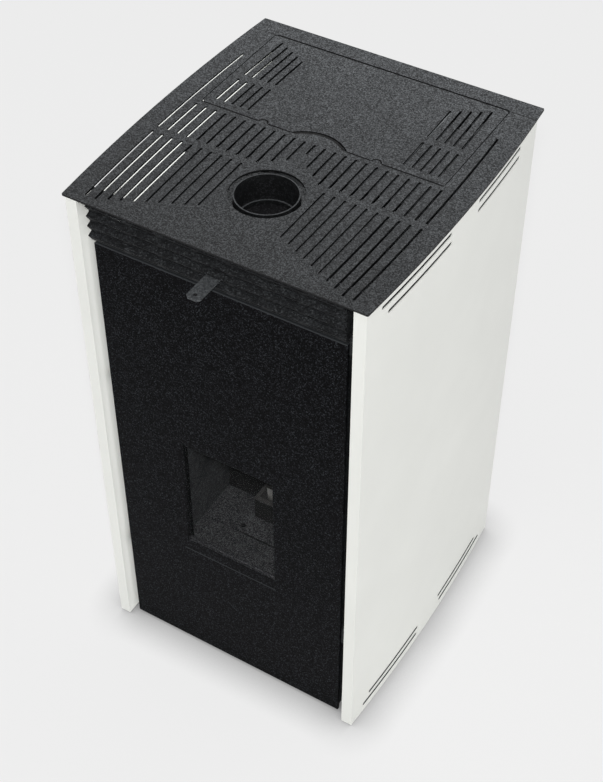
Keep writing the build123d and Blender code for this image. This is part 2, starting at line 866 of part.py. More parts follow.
# ---- Hopper: straight mouth, then a loft down to the throat ----
with BuildPart() as hopper:
    for wall, mode in ((inner_sheet, Mode.ADD), (0.0, Mode.SUBTRACT)):
        with BuildSketch(Plane.XY.offset(hopper_straight_bottom)):
            rect(
                -hopper_half - wall,
                hopper_half + wall,
                at(hopper_front_depth) - wall,
                at(hopper_rear_depth) + wall,
            )
        extrude(amount=deck_height - hopper_straight_bottom, mode=mode)
        with BuildSketch(Plane.XY.offset(hopper_bottom)):
            rect(
                -throat_half - wall,
                throat_half + wall,
                at(throat_front_depth) - wall,
                at(throat_rear_depth) + wall,
            )
        with BuildSketch(Plane.XY.offset(hopper_straight_bottom)):
            rect(
                -hopper_half - wall,
                hopper_half + wall,
                at(hopper_front_depth) - wall,
                at(hopper_rear_depth) + wall,
            )
        loft(mode=mode)
    with BuildSketch(Plane.XY.offset(deck_height)):
        rect(
            -hopper_half - hopper_flange,
            hopper_half + hopper_flange,
            at(hopper_front_depth) - hopper_flange,
            at(hopper_rear_depth) + hopper_flange,
        )
        rect(
            -hopper_half,
            hopper_half,
            at(hopper_front_depth),
            at(hopper_rear_depth),
            Mode.SUBTRACT,
        )
    extrude(amount=-inner_sheet)
save(hopper, "hopper")

# ---- Auger, laid in its tube at 45 degrees ----
auger_plane = Plane(
    origin=(0, at(auger_foot_depth), auger_foot_height), x_dir=(1, 0, 0), z_dir=(0, -1, 1)
)
auger_sum = auger_foot_depth + auger_foot_height    # depth plus height along the axis
tube_bore_radius = auger_tube_radius - auger_tube_wall
chute_back_depth = auger_foot_depth - (auger_tube_length - chute_lap) / sqrt(2)
chute_front_depth = auger_foot_depth - (auger_tube_length - chute_end_gap) / sqrt(2)
chute_foot_depth = firebox_rear_depth
chute_outline = [              # depth and height round the outside of the chute
    (chute_back_depth, auger_sum - chute_back_depth - chute_sink),
    (chute_front_depth, auger_sum - chute_front_depth - chute_sink),
    (chute_foot_depth, chute_mouth_top),
    (chute_foot_depth, chute_mouth_bottom),
    (chute_back_depth, auger_sum - chute_back_depth - sqrt(2) * auger_tube_radius),
]

with BuildPart() as tube_blank:
    Cylinder(auger_tube_radius, auger_tube_length, align=(Align.CENTER, Align.CENTER, Align.MIN))
with BuildPart() as tube_hollow:
    Cylinder(
        tube_bore_radius,
        auger_tube_length - 2 * auger_end_plate,
        align=(Align.CENTER, Align.CENTER, Align.MIN),
    )
with BuildPart() as tube_bearings:
    Cylinder(
        auger_shaft_radius + auger_shaft_play,
        auger_tube_length,
        align=(Align.CENTER, Align.CENTER, Align.MIN),
    )
with BuildPart() as auger_tube:
    with BuildSketch(Plane.XY.offset(hopper_bottom)):
        rect(
            -throat_half - 2 * hopper_flange,
            throat_half + 2 * hopper_flange,
            at(throat_front_depth) - hopper_flange,
            at(throat_rear_depth) + hopper_flange,
        )
    extrude(amount=-inner_sheet)
    with BuildSketch(Plane.XY.offset(hopper_bottom)):
        rect(-throat_half, throat_half, at(throat_front_depth), at(throat_rear_depth))
    extrude(amount=auger_sum - throat_rear_depth - hopper_bottom)
    add(auger_plane.location * tube_blank.part)
    add(auger_plane.offset(auger_end_plate).location * tube_hollow.part, mode=Mode.SUBTRACT)
    add(auger_plane.location * tube_bearings.part, mode=Mode.SUBTRACT)
    with BuildSketch(Plane.XY.offset(hopper_bottom)):
        rect(
            -throat_half + inner_sheet,
            throat_half - inner_sheet,
            at(throat_front_depth) + inner_sheet,
            at(throat_rear_depth) - inner_sheet,
        )
    extrude(amount=auger_sum - throat_rear_depth - hopper_bottom + 20, mode=Mode.SUBTRACT)
    with BuildSketch(Plane.YZ):
        with BuildLine():
            Polyline(*[(at(d), z) for d, z in chute_outline], close=True)
        make_face()
    extrude(amount=chute_half - chute_sheet, both=True, mode=Mode.SUBTRACT)
save(auger_tube, "auger_tube")

with BuildPart() as auger_blank:
    with BuildLine() as run:
        Helix(
            pitch=auger_pitch,
            height=auger_flight_length,
            radius=(auger_radius + auger_shaft_radius - weld_bite) / 2,
        )
    with BuildSketch(Plane(origin=run.line @ 0, x_dir=(1, 0, 0), z_dir=run.line % 0)):
        Rectangle(auger_radius - auger_shaft_radius + weld_bite, auger_flight)
    sweep(is_frenet=True)
    with Locations((0, 0, -auger_flight_start - auger_end_plate - auger_shaft_tail)):
        Cylinder(
            auger_shaft_radius,
            auger_tube_length + auger_shaft_tail + auger_shaft_nose,
            align=(Align.CENTER, Align.CENTER, Align.MIN),
        )
with BuildPart() as auger:
    add(auger_plane.offset(auger_flight_start + auger_end_plate).location * auger_blank.part)
save(auger, "auger")

with BuildPart() as gearmotor_blank:
    with BuildSketch(Plane.XZ):
        with BuildLine():
            Polyline(
                (0, 0),
                (gearbox_radius, 0),
                (gearbox_radius, -gearbox_length),
                (gear_motor_radius, -gearbox_length - 4),
                (gear_motor_radius, -gearbox_length - gear_motor_length),
                (0, -gearbox_length - gear_motor_length),
                close=True,
            )
        make_face()
        rect(
            0,
            auger_shaft_radius + auger_shaft_play,
            -auger_shaft_tail - 2,
            0,
            Mode.SUBTRACT,
        )
    revolve(axis=Axis.Z)
with BuildPart() as auger_gearmotor:
    add(auger_plane.location * gearmotor_blank.part)
save(auger_gearmotor, "auger_gearmotor")

with BuildPart() as tube_clearance:
    Cylinder(
        auger_tube_radius + fit_gap,
        auger_tube_length + auger_tube_radius,
        align=(Align.CENTER, Align.CENTER, Align.MIN),
    )
with BuildPart() as pellet_chute:
    with BuildSketch(Plane.YZ) as chute_side:
        with BuildLine():
            Polyline(*[(at(d), z) for d, z in chute_outline], close=True)
        make_face()
    extrude(amount=chute_half, both=True)
    with BuildSketch(Plane.YZ):
        add(chute_side.sketch_local)
        offset(amount=-chute_sheet, kind=Kind.INTERSECTION)
        rect(
            at(chute_foot_depth) - 1,
            at(chute_foot_depth) + chute_sheet + 0.5,
            chute_mouth_bottom + 2 * chute_sheet,
            chute_mouth_top - 2 * chute_sheet,
        )
    extrude(amount=chute_half - chute_sheet, both=True, mode=Mode.SUBTRACT)
    add(auger_plane.location * tube_clearance.part, mode=Mode.SUBTRACT)
save(pellet_chute, "pellet_chute")

with BuildPart() as hopper_heat_shield:
    shield_half = casing_half - fit_gap
    with BuildSketch(cross_plane(shield_depth)):
        rect(-shield_half, shield_half, shield_bottom, deck_height - fit_gap)
        rect(
            -auger_tube_radius - 4,
            auger_tube_radius + 4,
            chute_mouth_bottom - 10,
            auger_sum - shield_depth + shield_slot_margin,
            Mode.SUBTRACT,
        )
    extrude(amount=-inner_sheet)
save(hopper_heat_shield, "hopper_heat_shield")

# ---- Firebox and its linings ----
with BuildPart() as firebox:
    block(
        -firebox_half,
        firebox_half,
        at(mask_back_depth),
        at(firebox_rear_depth),
        firebox_bottom,
        firebox_top,
    )
    block(
        -firebox_half + firebox_sheet,
        firebox_half - firebox_sheet,
        at(mask_back_depth) - 1,
        at(firebox_rear_depth) - firebox_sheet,
        firebox_bottom + firebox_sheet,
        firebox_top - firebox_sheet,
        mode=Mode.SUBTRACT,
    )
    with BuildSketch(Plane.XY.offset(firebox_bottom)):
        rect(
            -ash_drop_half, ash_drop_half, at(ash_drop_front_depth), at(ash_drop_rear_depth)
        )
    extrude(amount=firebox_sheet, mode=Mode.SUBTRACT)
    with BuildSketch(Plane.XY.offset(firebox_top)):
        rect(
            -smoke_port_half,
            smoke_port_half,
            at(smoke_front_depth) + 20,
            at(firebox_rear_depth) - 20,
        )
    extrude(amount=-firebox_sheet, mode=Mode.SUBTRACT)
    with BuildSketch(cross_plane(firebox_rear_depth)):
        rect(-air_port_half, air_port_half, air_port_bottom, air_port_top)
        rect(
            -chute_half + chute_sheet,
            chute_half - chute_sheet,
            chute_mouth_bottom + 2 * chute_sheet,
            chute_mouth_top - 2 * chute_sheet,
        )
    extrude(amount=firebox_sheet, mode=Mode.SUBTRACT)
save(firebox, "firebox")

with BuildPart() as lining_right:
    with BuildSketch(Plane.XY.offset(firebox_bottom + firebox_sheet)) as lining_plan:
        rect(
            hearth_half,
            hearth_half + lining_sheet,
            at(lining_front_depth),
            at(lining_back_depth),
        )
        chamfer(lining_plan.vertices().group_by(Axis.Y)[0].sort_by(Axis.X)[0], 8.0)
    extrude(amount=lining_top - firebox_bottom - firebox_sheet)
save(lining_right, "lining_right")

with BuildPart() as lining_left:
    mirror(lining_right.part, about=Plane.YZ)
save(lining_left, "lining_left")

with BuildPart() as lining_rear:
    with BuildSketch(cross_plane(hearth_rear_depth)):
        rect(-fire_half, fire_half, firebox_bottom + firebox_sheet, lining_top)
        rect(-air_port_half, air_port_half, air_port_bottom, air_port_top, Mode.SUBTRACT)
        rect(
            -chute_half + chute_sheet,
            chute_half - chute_sheet,
            chute_mouth_bottom - lining_sheet,
            chute_mouth_top - 2 * chute_sheet,
            Mode.SUBTRACT,
        )
    extrude(amount=-lining_sheet)
save(lining_rear, "lining_rear")

with BuildPart() as firebox_floor:
    floor_rear_depth = hearth_rear_depth - fit_gap
    with BuildSketch(Plane.XY.offset(floor_top - floor_sheet)):
        rect(-fire_half, fire_half, at(lining_front_depth), at(floor_split_depth))
        rect(
            -fire_half,
            fire_half,
            at(floor_split_depth + floor_split),
            at(floor_rear_depth),
        )
        with Locations((finger_hole[0], at(finger_hole[1]))):
            Circle(finger_hole_radius, mode=Mode.SUBTRACT)
    extrude(amount=floor_sheet)
    with BuildSketch(Plane.XY.offset(firebox_bottom + firebox_sheet)):
        for low, high in (
            (lining_front_depth, floor_split_depth),
            (floor_split_depth + floor_split, floor_rear_depth),
        ):
            for side in (-1, 1):
                with Locations((side * (fire_half - 8), at((low + high) / 2))):
                    Rectangle(8, high - low)
    extrude(amount=floor_top - floor_sheet - firebox_bottom - firebox_sheet)
save(firebox_floor, "firebox_floor")

with BuildPart() as baffle:
    with BuildSketch(Plane.XY.offset(lining_top)):
        rect(
            -firebox_half + firebox_sheet + fit_gap,
            firebox_half - firebox_sheet - fit_gap,
            at(baffle_front_depth),
            at(lining_back_depth),
        )
    extrude(amount=baffle_sheet)
    fillet(baffle.edges().filter_by(Axis.X).group_by(Axis.Y)[0], 3.0)
save(baffle, "baffle")

with BuildPart() as burn_pot_holder:
    holder_rear_depth = hearth_rear_depth - fit_gap
    with BuildSketch(Plane.XY.offset(floor_top)) as holder_plan:
        rect(-holder_half, holder_half, at(holder_front_depth), at(holder_rear_depth))
        fillet(holder_plan.vertices().group_by(Axis.Y)[0], 4.0)
    extrude(amount=holder_top - floor_top)
    block(
        -holder_half + holder_wall,
        holder_half - holder_wall,
        at(holder_front_depth) + holder_wall,
        at(holder_rear_depth) - holder_wall,
        floor_top + holder_wall,
        holder_top + 1,
        mode=Mode.SUBTRACT,
    )
    with BuildSketch(cross_plane(holder_rear_depth)):
        rect(-air_port_half, air_port_half, air_port_bottom, air_port_top)
    extrude(amount=holder_wall, mode=Mode.SUBTRACT)
save(burn_pot_holder, "burn_pot_holder")

with BuildPart() as burn_pot:
    pot_half = holder_half - holder_wall - pot_play
    pot_front = at(holder_front_depth) + holder_wall + pot_play
    pot_rear = at(holder_rear_depth) - holder_wall - pot_play
    pot_foot_half = pot_half - pot_taper_side
    pot_foot_front = pot_front + pot_taper_fore
    pot_foot_rear = pot_rear - pot_taper_fore
    with BuildSketch(Plane.XY.offset(pot_floor)):
        rect(-pot_foot_half, pot_foot_half, pot_foot_front, pot_foot_rear)
    with BuildSketch(Plane.XY.offset(holder_top)):
        rect(-pot_half, pot_half, pot_front, pot_rear)
    loft()
    block(
        -holder_half + 1,
        holder_half - 1,
        at(holder_front_depth) + 1,
        at(holder_rear_depth) - 1,
        holder_top,
        holder_top + pot_rim,
    )
    with BuildSketch(Plane.XY.offset(pot_floor + pot_wall)):
        rect(
            -pot_foot_half + pot_wall,
            pot_foot_half - pot_wall,
            pot_foot_front + pot_wall,
            pot_foot_rear - pot_wall,
        )
    with BuildSketch(Plane.XY.offset(holder_top + pot_rim)):
        rect(
            -pot_half + pot_wall,
            pot_half - pot_wall,
            pot_front + pot_wall,
            pot_rear - pot_wall,
        )
    loft(mode=Mode.SUBTRACT)
    with BuildSketch(Plane.XY.offset(pot_floor)):
        with Locations((0, (pot_front + pot_rear) / 2)):
            with GridLocations(9, 9, 6, 2):
                Circle(pot_hole_radius)
    extrude(amount=2 * pot_wall, mode=Mode.SUBTRACT)
save(burn_pot, "burn_pot")

with BuildPart() as igniter:
    igniter_height = duct_bottom + blower_sheet + igniter_radius + fit_gap
    with BuildSketch(cross_plane(hearth_rear_depth + 4)):
        with Locations((igniter_place, igniter_height)):
            Circle(igniter_radius)
    extrude(amount=-70)
save(igniter, "igniter")

# ---- Smoke box, its fins and the flue collar ----
with BuildPart() as smoke_box:
    block(
        -smoke_half,
        smoke_half,
        at(smoke_front_depth),
        at(firebox_rear_depth),
        firebox_top,
        smoke_top,
    )
    block(
        -smoke_half + firebox_sheet,
        smoke_half - firebox_sheet,
        at(smoke_front_depth) + firebox_sheet,
        at(firebox_rear_depth) - firebox_sheet,
        firebox_top - 1,
        smoke_top - firebox_sheet,
        mode=Mode.SUBTRACT,
    )
    with BuildSketch(Plane.XY.offset(smoke_top)):
        with Locations((0, at(flue_depth))):
            Circle(flue_bore_radius)
    extrude(amount=-firebox_sheet, mode=Mode.SUBTRACT)
save(smoke_box, "smoke_box")

with BuildPart() as convection_fins:
    fin_middle = at((smoke_front_depth + firebox_rear_depth) / 2)
    with BuildSketch(Plane.XY.offset(firebox_top + fin_margin)):
        for side in (-1, 1):
            with Locations((side * (smoke_half + fin_width / 2), fin_middle)):
                with GridLocations(1, fin_pitch, 1, fin_count):
                    Rectangle(fin_width, fin_sheet)
    extrude(amount=smoke_top - firebox_top - 2 * fin_margin)
save(convection_fins, "convection_fins")

with BuildPart() as flue_collar:
    flue_top = stove_height - flue_rim_drop
    with BuildSketch(Plane.XZ.offset(-at(flue_depth))):
        rect(flue_bore_radius, flue_tube_radius, smoke_top, flue_top)
        rect(flue_bore_radius, flue_flange_radius, smoke_top, smoke_top + flue_flange_sheet)
        rect(
            flue_bore_radius,
            flue_socket_radius,
            flue_socket_bottom,
            flue_top,
            Mode.SUBTRACT,
        )
    revolve(axis=Axis((0, at(flue_depth), 0), (0, 0, 1)))
    block(
        -damper_radius - damper_side_gap,
        damper_radius + damper_side_gap,
        at(flue_depth) - flue_flange_radius,
        at(flue_depth),
        damper_height - fit_gap,
        damper_height + damper_sheet + fit_gap,
        mode=Mode.SUBTRACT,
    )
save(flue_collar, "flue_collar")

with BuildPart() as damper_slide:
    with BuildSketch(Plane.XY.offset(damper_height)) as damper_plan:
        rect(
            -damper_neck / 2,
            damper_neck / 2,
            at(damper_tip_depth),
            at(flue_depth),
        )
        chamfer(damper_plan.vertices().group_by(Axis.Y)[0], damper_tip_chamfer)
        with Locations((0, at(flue_depth))):
            Circle(damper_radius)
        with Locations((0, at(damper_tip_depth + damper_hole_inset))):
            Circle(damper_hole_radius, mode=Mode.SUBTRACT)
    extrude(amount=damper_sheet)
save(damper_slide, "damper_slide")

with BuildPart() as damper_guide:
    guide_top = damper_height - fit_gap
    with BuildSketch(cross_plane(guide_front_depth)):
        rect(-guide_half, guide_half, guide_top - inner_sheet, deck_height)
        rect(
            -guide_half + inner_sheet,
            guide_half - inner_sheet,
            guide_top,
            deck_height + 1,
            Mode.SUBTRACT,
        )
    extrude(amount=-guide_length)
save(damper_guide, "damper_guide")

# ---- Ash bay and drawer ----
with BuildPart() as ash_bay:
    with BuildSketch(cross_plane(mask_back_depth)):
        rect(-bay_half, bay_half, base_top, firebox_bottom)
        rect(
            -bay_half + inner_sheet,
            bay_half - inner_sheet,
            bay_floor + inner_sheet,
            firebox_bottom + 1,
            Mode.SUBTRACT,
        )
        rect(
            -bay_half + inner_sheet,
            bay_half - inner_sheet,
            base_top - 1,
            bay_floor,
            Mode.SUBTRACT,
        )
    extrude(amount=-(firebox_rear_depth - mask_back_depth))
    block(
        -bay_half,
        bay_half,
        at(firebox_rear_depth) - inner_sheet,
        at(firebox_rear_depth),
        bay_floor,
        firebox_bottom,
    )
save(ash_bay, "ash_bay")

with BuildPart() as ash_drawer:
    drawer_bottom = bay_floor + inner_sheet
    with BuildSketch(Plane.XY.offset(drawer_bottom)) as drawer_plan:
        rect(
            -drawer_half,
            drawer_half,
            at(drawer_front_depth),
            at(drawer_front_depth + drawer_length),
        )
        fillet(drawer_plan.vertices(), 3.0)
    extrude(amount=drawer_height)
    drawer_lid_face = ash_drawer.faces().sort_by(Axis.Z)[-1]
    offset(amount=-drawer_sheet, openings=drawer_lid_face)
    pull_top = drawer_bottom + drawer_height - pull_drop
    pull_root = at(drawer_front_depth) + pull_weld
    pull_face = at(drawer_front_depth) - pull_reach
    with BuildSketch(Plane.YZ):
        with BuildLine():
            Polyline(
                (pull_root, pull_top),
                (pull_face, pull_top - pull_slope),
                (pull_face, pull_top - pull_tall),
                (pull_face + pull_sheet, pull_top - pull_tall),
                (pull_face + pull_sheet, pull_top - pull_slope - pull_sheet),
                (pull_root, pull_top - 2 * pull_sheet),
                close=True,
            )
        make_face()
    extrude(amount=drawer_half / 3, both=True)
save(ash_drawer, "ash_drawer")

# ---- Combustion blower: scroll housing, wheel, motor, stand and intake ----
with BuildPart() as blower_housing:
    for inset, half, mode in (
        (0.0, blower_half, Mode.ADD),
        (blower_sheet, blower_half - blower_sheet, Mode.SUBTRACT),
    ):
        with BuildSketch(Plane.YZ):
            with Locations((at(blower_depth), blower_height)):
                Circle(blower_radius - inset)
            rect(
                at(firebox_rear_depth) - inset,
                at(blower_depth),
                duct_bottom + inset,
                duct_top - inset,
            )
        extrude(amount=half, both=True, mode=mode)
    with BuildSketch(Plane.YZ.offset(-blower_half)):
        with Locations((at(blower_depth), blower_height)):
            Circle(eye_radius)
    extrude(amount=blower_sheet, mode=Mode.SUBTRACT)
    with BuildSketch(Plane.YZ.offset(blower_half)):
        with Locations((at(blower_depth), blower_height)):
            Circle(wheel_shaft_radius + 2)
    extrude(amount=-blower_sheet, mode=Mode.SUBTRACT)
save(blower_housing, "blower_housing")

with BuildPart() as blower_wheel:
    wheel_at = (at(blower_depth), blower_height)
    with BuildSketch(Plane.YZ.offset(wheel_half)):
        with Locations(wheel_at):
            Circle(wheel_radius)
    extrude(amount=-wheel_blade_sheet)
    with BuildSketch(Plane.YZ.offset(-wheel_half)):
        with Locations(wheel_at):
            Circle(wheel_radius)
            Circle(wheel_radius - wheel_ring, mode=Mode.SUBTRACT)
    extrude(amount=wheel_blade_sheet)
    with BuildSketch(Plane.YZ.offset(-wheel_half)):
        with Locations(wheel_at):
            with PolarLocations(wheel_radius - wheel_blade_length / 2 - 1, wheel_blades):
                Rectangle(wheel_blade_length, wheel_blade_sheet, rotation=wheel_blade_turn)
    extrude(amount=2 * wheel_half)
    with BuildSketch(Plane.YZ.offset(-wheel_half / 4)):
        with Locations(wheel_at):
            Circle(wheel_hub_radius)
    extrude(amount=wheel_half)
    with BuildSketch(Plane.YZ.offset(-wheel_half / 2)):
        with Locations(wheel_at):
            Circle(wheel_shaft_radius)
    extrude(amount=wheel_half / 2 + blower_half + motor_seat - 1)
save(blower_wheel, "blower_wheel")

with BuildPart() as blower_motor:
    with BuildSketch(Plane.YZ.offset(blower_half)):
        with Locations(wheel_at):
            Circle(motor_radius)
    extrude(amount=motor_length)
    fillet(blower_motor.faces().sort_by(Axis.X)[-1].edges(), 6.0)
    with BuildSketch(Plane.YZ.offset(blower_half)):
        with Locations(wheel_at):
            Circle(wheel_shaft_radius + auger_shaft_play)
    extrude(amount=motor_seat, mode=Mode.SUBTRACT)
save(blower_motor, "blower_motor")

with BuildPart() as blower_stand:
    block(
        -stand_half,
        stand_half,
        at(stand_front_depth),
        at(stand_rear_depth),
        base_top,
        base_top + base_sheet,
    )
    for side in (-1, 1):
        with BuildSketch(Plane.YZ.offset(side * stand_half)):
            rect(at(stand_front_depth), at(stand_rear_depth), base_top, blower_height - 35)
            with Locations(wheel_at):
                Circle(blower_radius + fit_gap, mode=Mode.SUBTRACT)
        extrude(amount=-side * base_sheet)
save(blower_stand, "blower_stand")

with BuildPart() as intake_duct:
    with BuildLine() as duct_run:
        FilletPolyline(
            (intake_place, at(rear_panel_depth), blower_height),
            (intake_place, at(blower_depth), blower_height),
            (-blower_half, at(blower_depth), blower_height),
            radius=intake_bend,
        )
    with BuildSketch(Plane(origin=duct_run.line @ 0, z_dir=duct_run.line % 0)):
        Circle(intake_radius)
        Circle(intake_radius - intake_wall, mode=Mode.SUBTRACT)
    sweep()
save(intake_duct, "intake_duct")

with BuildPart() as intake_spigot:
    with BuildSketch(cross_plane(rear_face_depth)):
        with Locations((intake_place, blower_height)):
            Circle(intake_flange_radius)
            Circle(intake_radius - intake_wall, mode=Mode.SUBTRACT)
    extrude(amount=-intake_flange_sheet)
    with BuildSketch(cross_plane(rear_face_depth)):
        with Locations((intake_place, blower_height)):
            Circle(intake_radius)
            Circle(intake_radius - intake_wall, mode=Mode.SUBTRACT)
    extrude(amount=-(intake_reach_depth - rear_face_depth))
save(intake_spigot, "intake_spigot")

# ---- Electrics ----
with BuildPart() as control_box:
    with BuildSketch(Plane.YZ.offset(casing_half + inner_sheet)) as control_plan:
        rect(
            at(control_front_depth),
            at(control_front_depth + control_length),
            control_bottom,
            control_bottom + control_height,
        )
        fillet(control_plan.vertices(), 4.0)
    extrude(amount=control_width)
    with BuildSketch(Plane.YZ.offset(casing_half + inner_sheet + control_width)) as lid_face:
        rect(
            at(control_front_depth) - 2,
            at(control_front_depth + control_length) + 2,
            control_bottom - 2,
            control_bottom + control_height + 2,
        )
        fillet(lid_face.vertices(), 6.0)
    extrude(amount=control_lid)
save(control_box, "control_box")

with BuildPart() as power_inlet:
    with BuildSketch(cross_plane(rear_face_depth)):
        with Locations((socket_place, inlet_height)):
            Rectangle(2 * inlet_half, 2 * inlet_tall)
    extrude(amount=inlet_body)
    with BuildSketch(cross_plane(rear_face_depth)):
        with Locations((socket_place, inlet_height)):
            RectangleRounded(2 * inlet_half + 4, 2 * inlet_tall + 12, 3)
    extrude(amount=-inlet_flange)
    with BuildSketch(cross_plane(rear_face_depth + inlet_flange)) as recess_plan:
        with Locations((socket_place, inlet_height)):
            Rectangle(2 * inlet_recess_half, 2 * inlet_recess_tall)
        chamfer(recess_plan.vertices().group_by(Axis.Z)[-1], 4.0)
    extrude(amount=inlet_recess_deep, mode=Mode.SUBTRACT)
save(power_inlet, "power_inlet")

pivot_depth = rear_face_depth + rocker_sink
pivot_at = (at(pivot_depth), switch_height)
with BuildPart() as switch_housing:
    with BuildSketch(cross_plane(rear_face_depth)):
        with Locations((socket_place, switch_height)):
            Rectangle(2 * switch_half, 2 * switch_tall)
    extrude(amount=switch_body)
    with BuildSketch(cross_plane(rear_face_depth)):
        with Locations((socket_place, switch_height)):
            RectangleRounded(2 * switch_half + 4, 2 * switch_tall + 4, 2)
    extrude(amount=-(rocker_sink + switch_flange))
    with BuildSketch(Plane.YZ.offset(socket_place)):
        with Locations(pivot_at):
            Circle(rocker_radius + rocker_gap)
    extrude(amount=rocker_half + rocker_gap, both=True, mode=Mode.SUBTRACT)
    with BuildSketch(Plane.YZ.offset(socket_place)):
        with Locations(pivot_at):
            Circle(rocker_pin_radius + lid_pin_play)
    extrude(amount=rocker_half + rocker_pin_length + 2 * rocker_gap, both=True, mode=Mode.SUBTRACT)
save(switch_housing, "switch_housing")


def tilted(out, up, angle):
    """Point of the rocker's section turned about its pivot, as a sketch point."""
    turn = radians(angle)
    along = out * cos(turn) - up * sin(turn)
    return (pivot_at[0] + along, pivot_at[1] + out * sin(turn) + up * cos(turn))


with BuildPart() as switch_rocker:
    ends_out = rocker_face + rocker_radius * sin(radians(rocker_tilt))
    with BuildSketch(Plane.YZ.offset(socket_place)):
        with Locations(pivot_at):
            Circle(rocker_radius)
        with BuildLine():
            Polyline(
                tilted(rocker_face, 0, -rocker_tilt),
                tilted(ends_out, rocker_radius, -rocker_tilt),
                tilted(2 * rocker_radius, rocker_radius, -rocker_tilt),
                tilted(2 * rocker_radius, -rocker_radius, -rocker_tilt),
                tilted(ends_out, -rocker_radius, -rocker_tilt),
                close=True,
            )
        make_face(mode=Mode.SUBTRACT)
    extrude(amount=rocker_half, both=True)
    with BuildSketch(Plane.YZ.offset(socket_place)):
        with Locations(pivot_at):
            Circle(rocker_pin_radius)
    extrude(amount=rocker_half + rocker_pin_length, both=True)
save(switch_rocker, "switch_rocker")

with BuildPart() as overheat_reset:
    with BuildSketch(cross_plane(rear_face_depth)):
        with Locations((socket_place, reset_height)):
            Circle(reset_radius)
    extrude(amount=reset_body)
    with BuildSketch(cross_plane(rear_face_depth)):
        with Locations((socket_place, reset_height)):
            Circle(reset_cap_radius)
    extrude(amount=-reset_cap)
    fillet(overheat_reset.faces().sort_by(Axis.Y)[-1].edges(), 2.0)
save(overheat_reset, "overheat_reset")

# ---- Door: glass over a folded steel frame, pane, retainer and seal ----
frame_depth = glass_depth + glass_sheet
frame_half = door_half - frame_inset
frame_bottom = door_bottom + frame_inset
frame_top = door_top - frame_inset
with BuildPart() as door_glass:
    with BuildSketch(cross_plane(glass_depth)) as glass_plan:
        rect(-door_half, door_half, door_bottom, door_top)
        fillet(glass_plan.vertices(), glass_corner_radius)
    extrude(amount=-glass_sheet)
    chamfer(door_glass.faces().sort_by(Axis.Y)[0].edges(), glass_edge)
save(door_glass, "door_glass")

seal_inner_half = fire_mouth_half + seal_margin
seal_inner_low = fire_mouth_bottom - seal_margin
seal_inner_high = fire_mouth_top + seal_margin


def mouth_ring(inner, outer):
    """Ring round the fire mouth, from this far outside the seal's inner edge to that far."""
    rect(
        -seal_inner_half - outer,
        seal_inner_half + outer,
        seal_inner_low - outer,
        seal_inner_high + outer,
    )
    rect(
        -seal_inner_half - inner,
        seal_inner_half + inner,
        seal_inner_low - inner,
        seal_inner_high + inner,
        Mode.SUBTRACT,
    )


with BuildPart() as door_frame:
    with BuildSketch(cross_plane(frame_depth)):
        rect(-frame_half, frame_half, frame_bottom, frame_top)
    extrude(amount=-frame_deep)
    with BuildSketch(cross_plane(frame_depth + frame_sheet)):
        rect(
            -frame_half + frame_sheet,
            frame_half - frame_sheet,
            frame_bottom + frame_sheet,
            frame_top - frame_sheet,
        )
    extrude(amount=-frame_deep, mode=Mode.SUBTRACT)
    with BuildSketch(cross_plane(frame_depth)):
        rect(-window_half, window_half, window_bottom, window_top)
    extrude(amount=-frame_sheet, mode=Mode.SUBTRACT)
    with BuildSketch(cross_plane(frame_depth + frame_sheet)):
        mouth_ring(-seal_wall, seal_width + seal_wall)
    extrude(amount=-frame_deep)
    with BuildSketch(cross_plane(frame_depth + frame_sheet + seal_base)):
        mouth_ring(0, seal_width)
    extrude(amount=-frame_deep, mode=Mode.SUBTRACT)
save(door_frame, "door_frame")

with BuildPart() as door_seal:
    seal_start = frame_depth + frame_sheet + seal_base
    with BuildSketch(cross_plane(seal_start)):
        mouth_ring(0, seal_width)
    extrude(amount=-(mask_depth - fit_gap - seal_start))
    fillet(door_seal.faces().sort_by(Axis.Y)[-1].edges(), 2.5)
save(door_seal, "door_seal")

with BuildPart() as window_pane:
    with BuildSketch(cross_plane(frame_depth + frame_sheet)) as pane_plan:
        rect(
            -window_half - pane_margin,
            window_half + pane_margin,
            window_bottom - pane_margin,
            window_top + pane_margin,
        )
        fillet(pane_plan.vertices(), 3.0)
    extrude(amount=-pane_sheet)
save(window_pane, "window_pane")

with BuildPart() as window_retainer:
    with BuildSketch(cross_plane(frame_depth + frame_sheet + pane_sheet)):
        rect(
            -window_half - pane_margin,
            window_half + pane_margin,
            window_bottom - pane_margin,
            window_top + pane_margin,
        )
        rect(
            -window_half - retainer_lap,
            window_half + retainer_lap,
            window_bottom - retainer_lap,
            window_top + retainer_lap,
            Mode.SUBTRACT,
        )
    extrude(amount=-retainer_sheet)
save(window_retainer, "window_retainer")

# ---- Door hinges: fixed halves with their pins, and the halves on the door ----
hinge_at = (hinge_place, at(hinge_depth))
hinge_spans = (                # fixed low, fixed high, pin low, pin high
    (
        lower_hinge - knuckle_tall,
        lower_hinge,
        lower_hinge - knuckle_tall,
        lower_hinge + hinge_pin_reach,
    ),
    (
        upper_hinge,
        upper_hinge + knuckle_tall,
        upper_hinge - hinge_pin_reach,
        upper_hinge + knuckle_tall,
    ),
)
with BuildPart() as door_hinge_brackets:
    for low, high, pin_low, pin_high in hinge_spans:
        with BuildSketch(Plane.XY.offset(low)):
            with Locations(hinge_at):
                Circle(knuckle_radius)
            rect(
                hinge_place - hinge_arm_sheet / 2,
                hinge_place + hinge_arm_sheet / 2,
                at(hinge_depth),
                at(mask_depth),
            )
            rect(
                door_half + 1.5,
                case_corner_half - front_flange_width - 1,
                at(mask_depth) - hinge_arm_sheet,
                at(mask_depth),
            )
        extrude(amount=high - low)
        with BuildSketch(Plane.XY.offset(pin_low)):
            with Locations(hinge_at):
                Circle(hinge_pin_radius)
        extrude(amount=pin_high - pin_low)
save(door_hinge_brackets, "door_hinge_brackets")

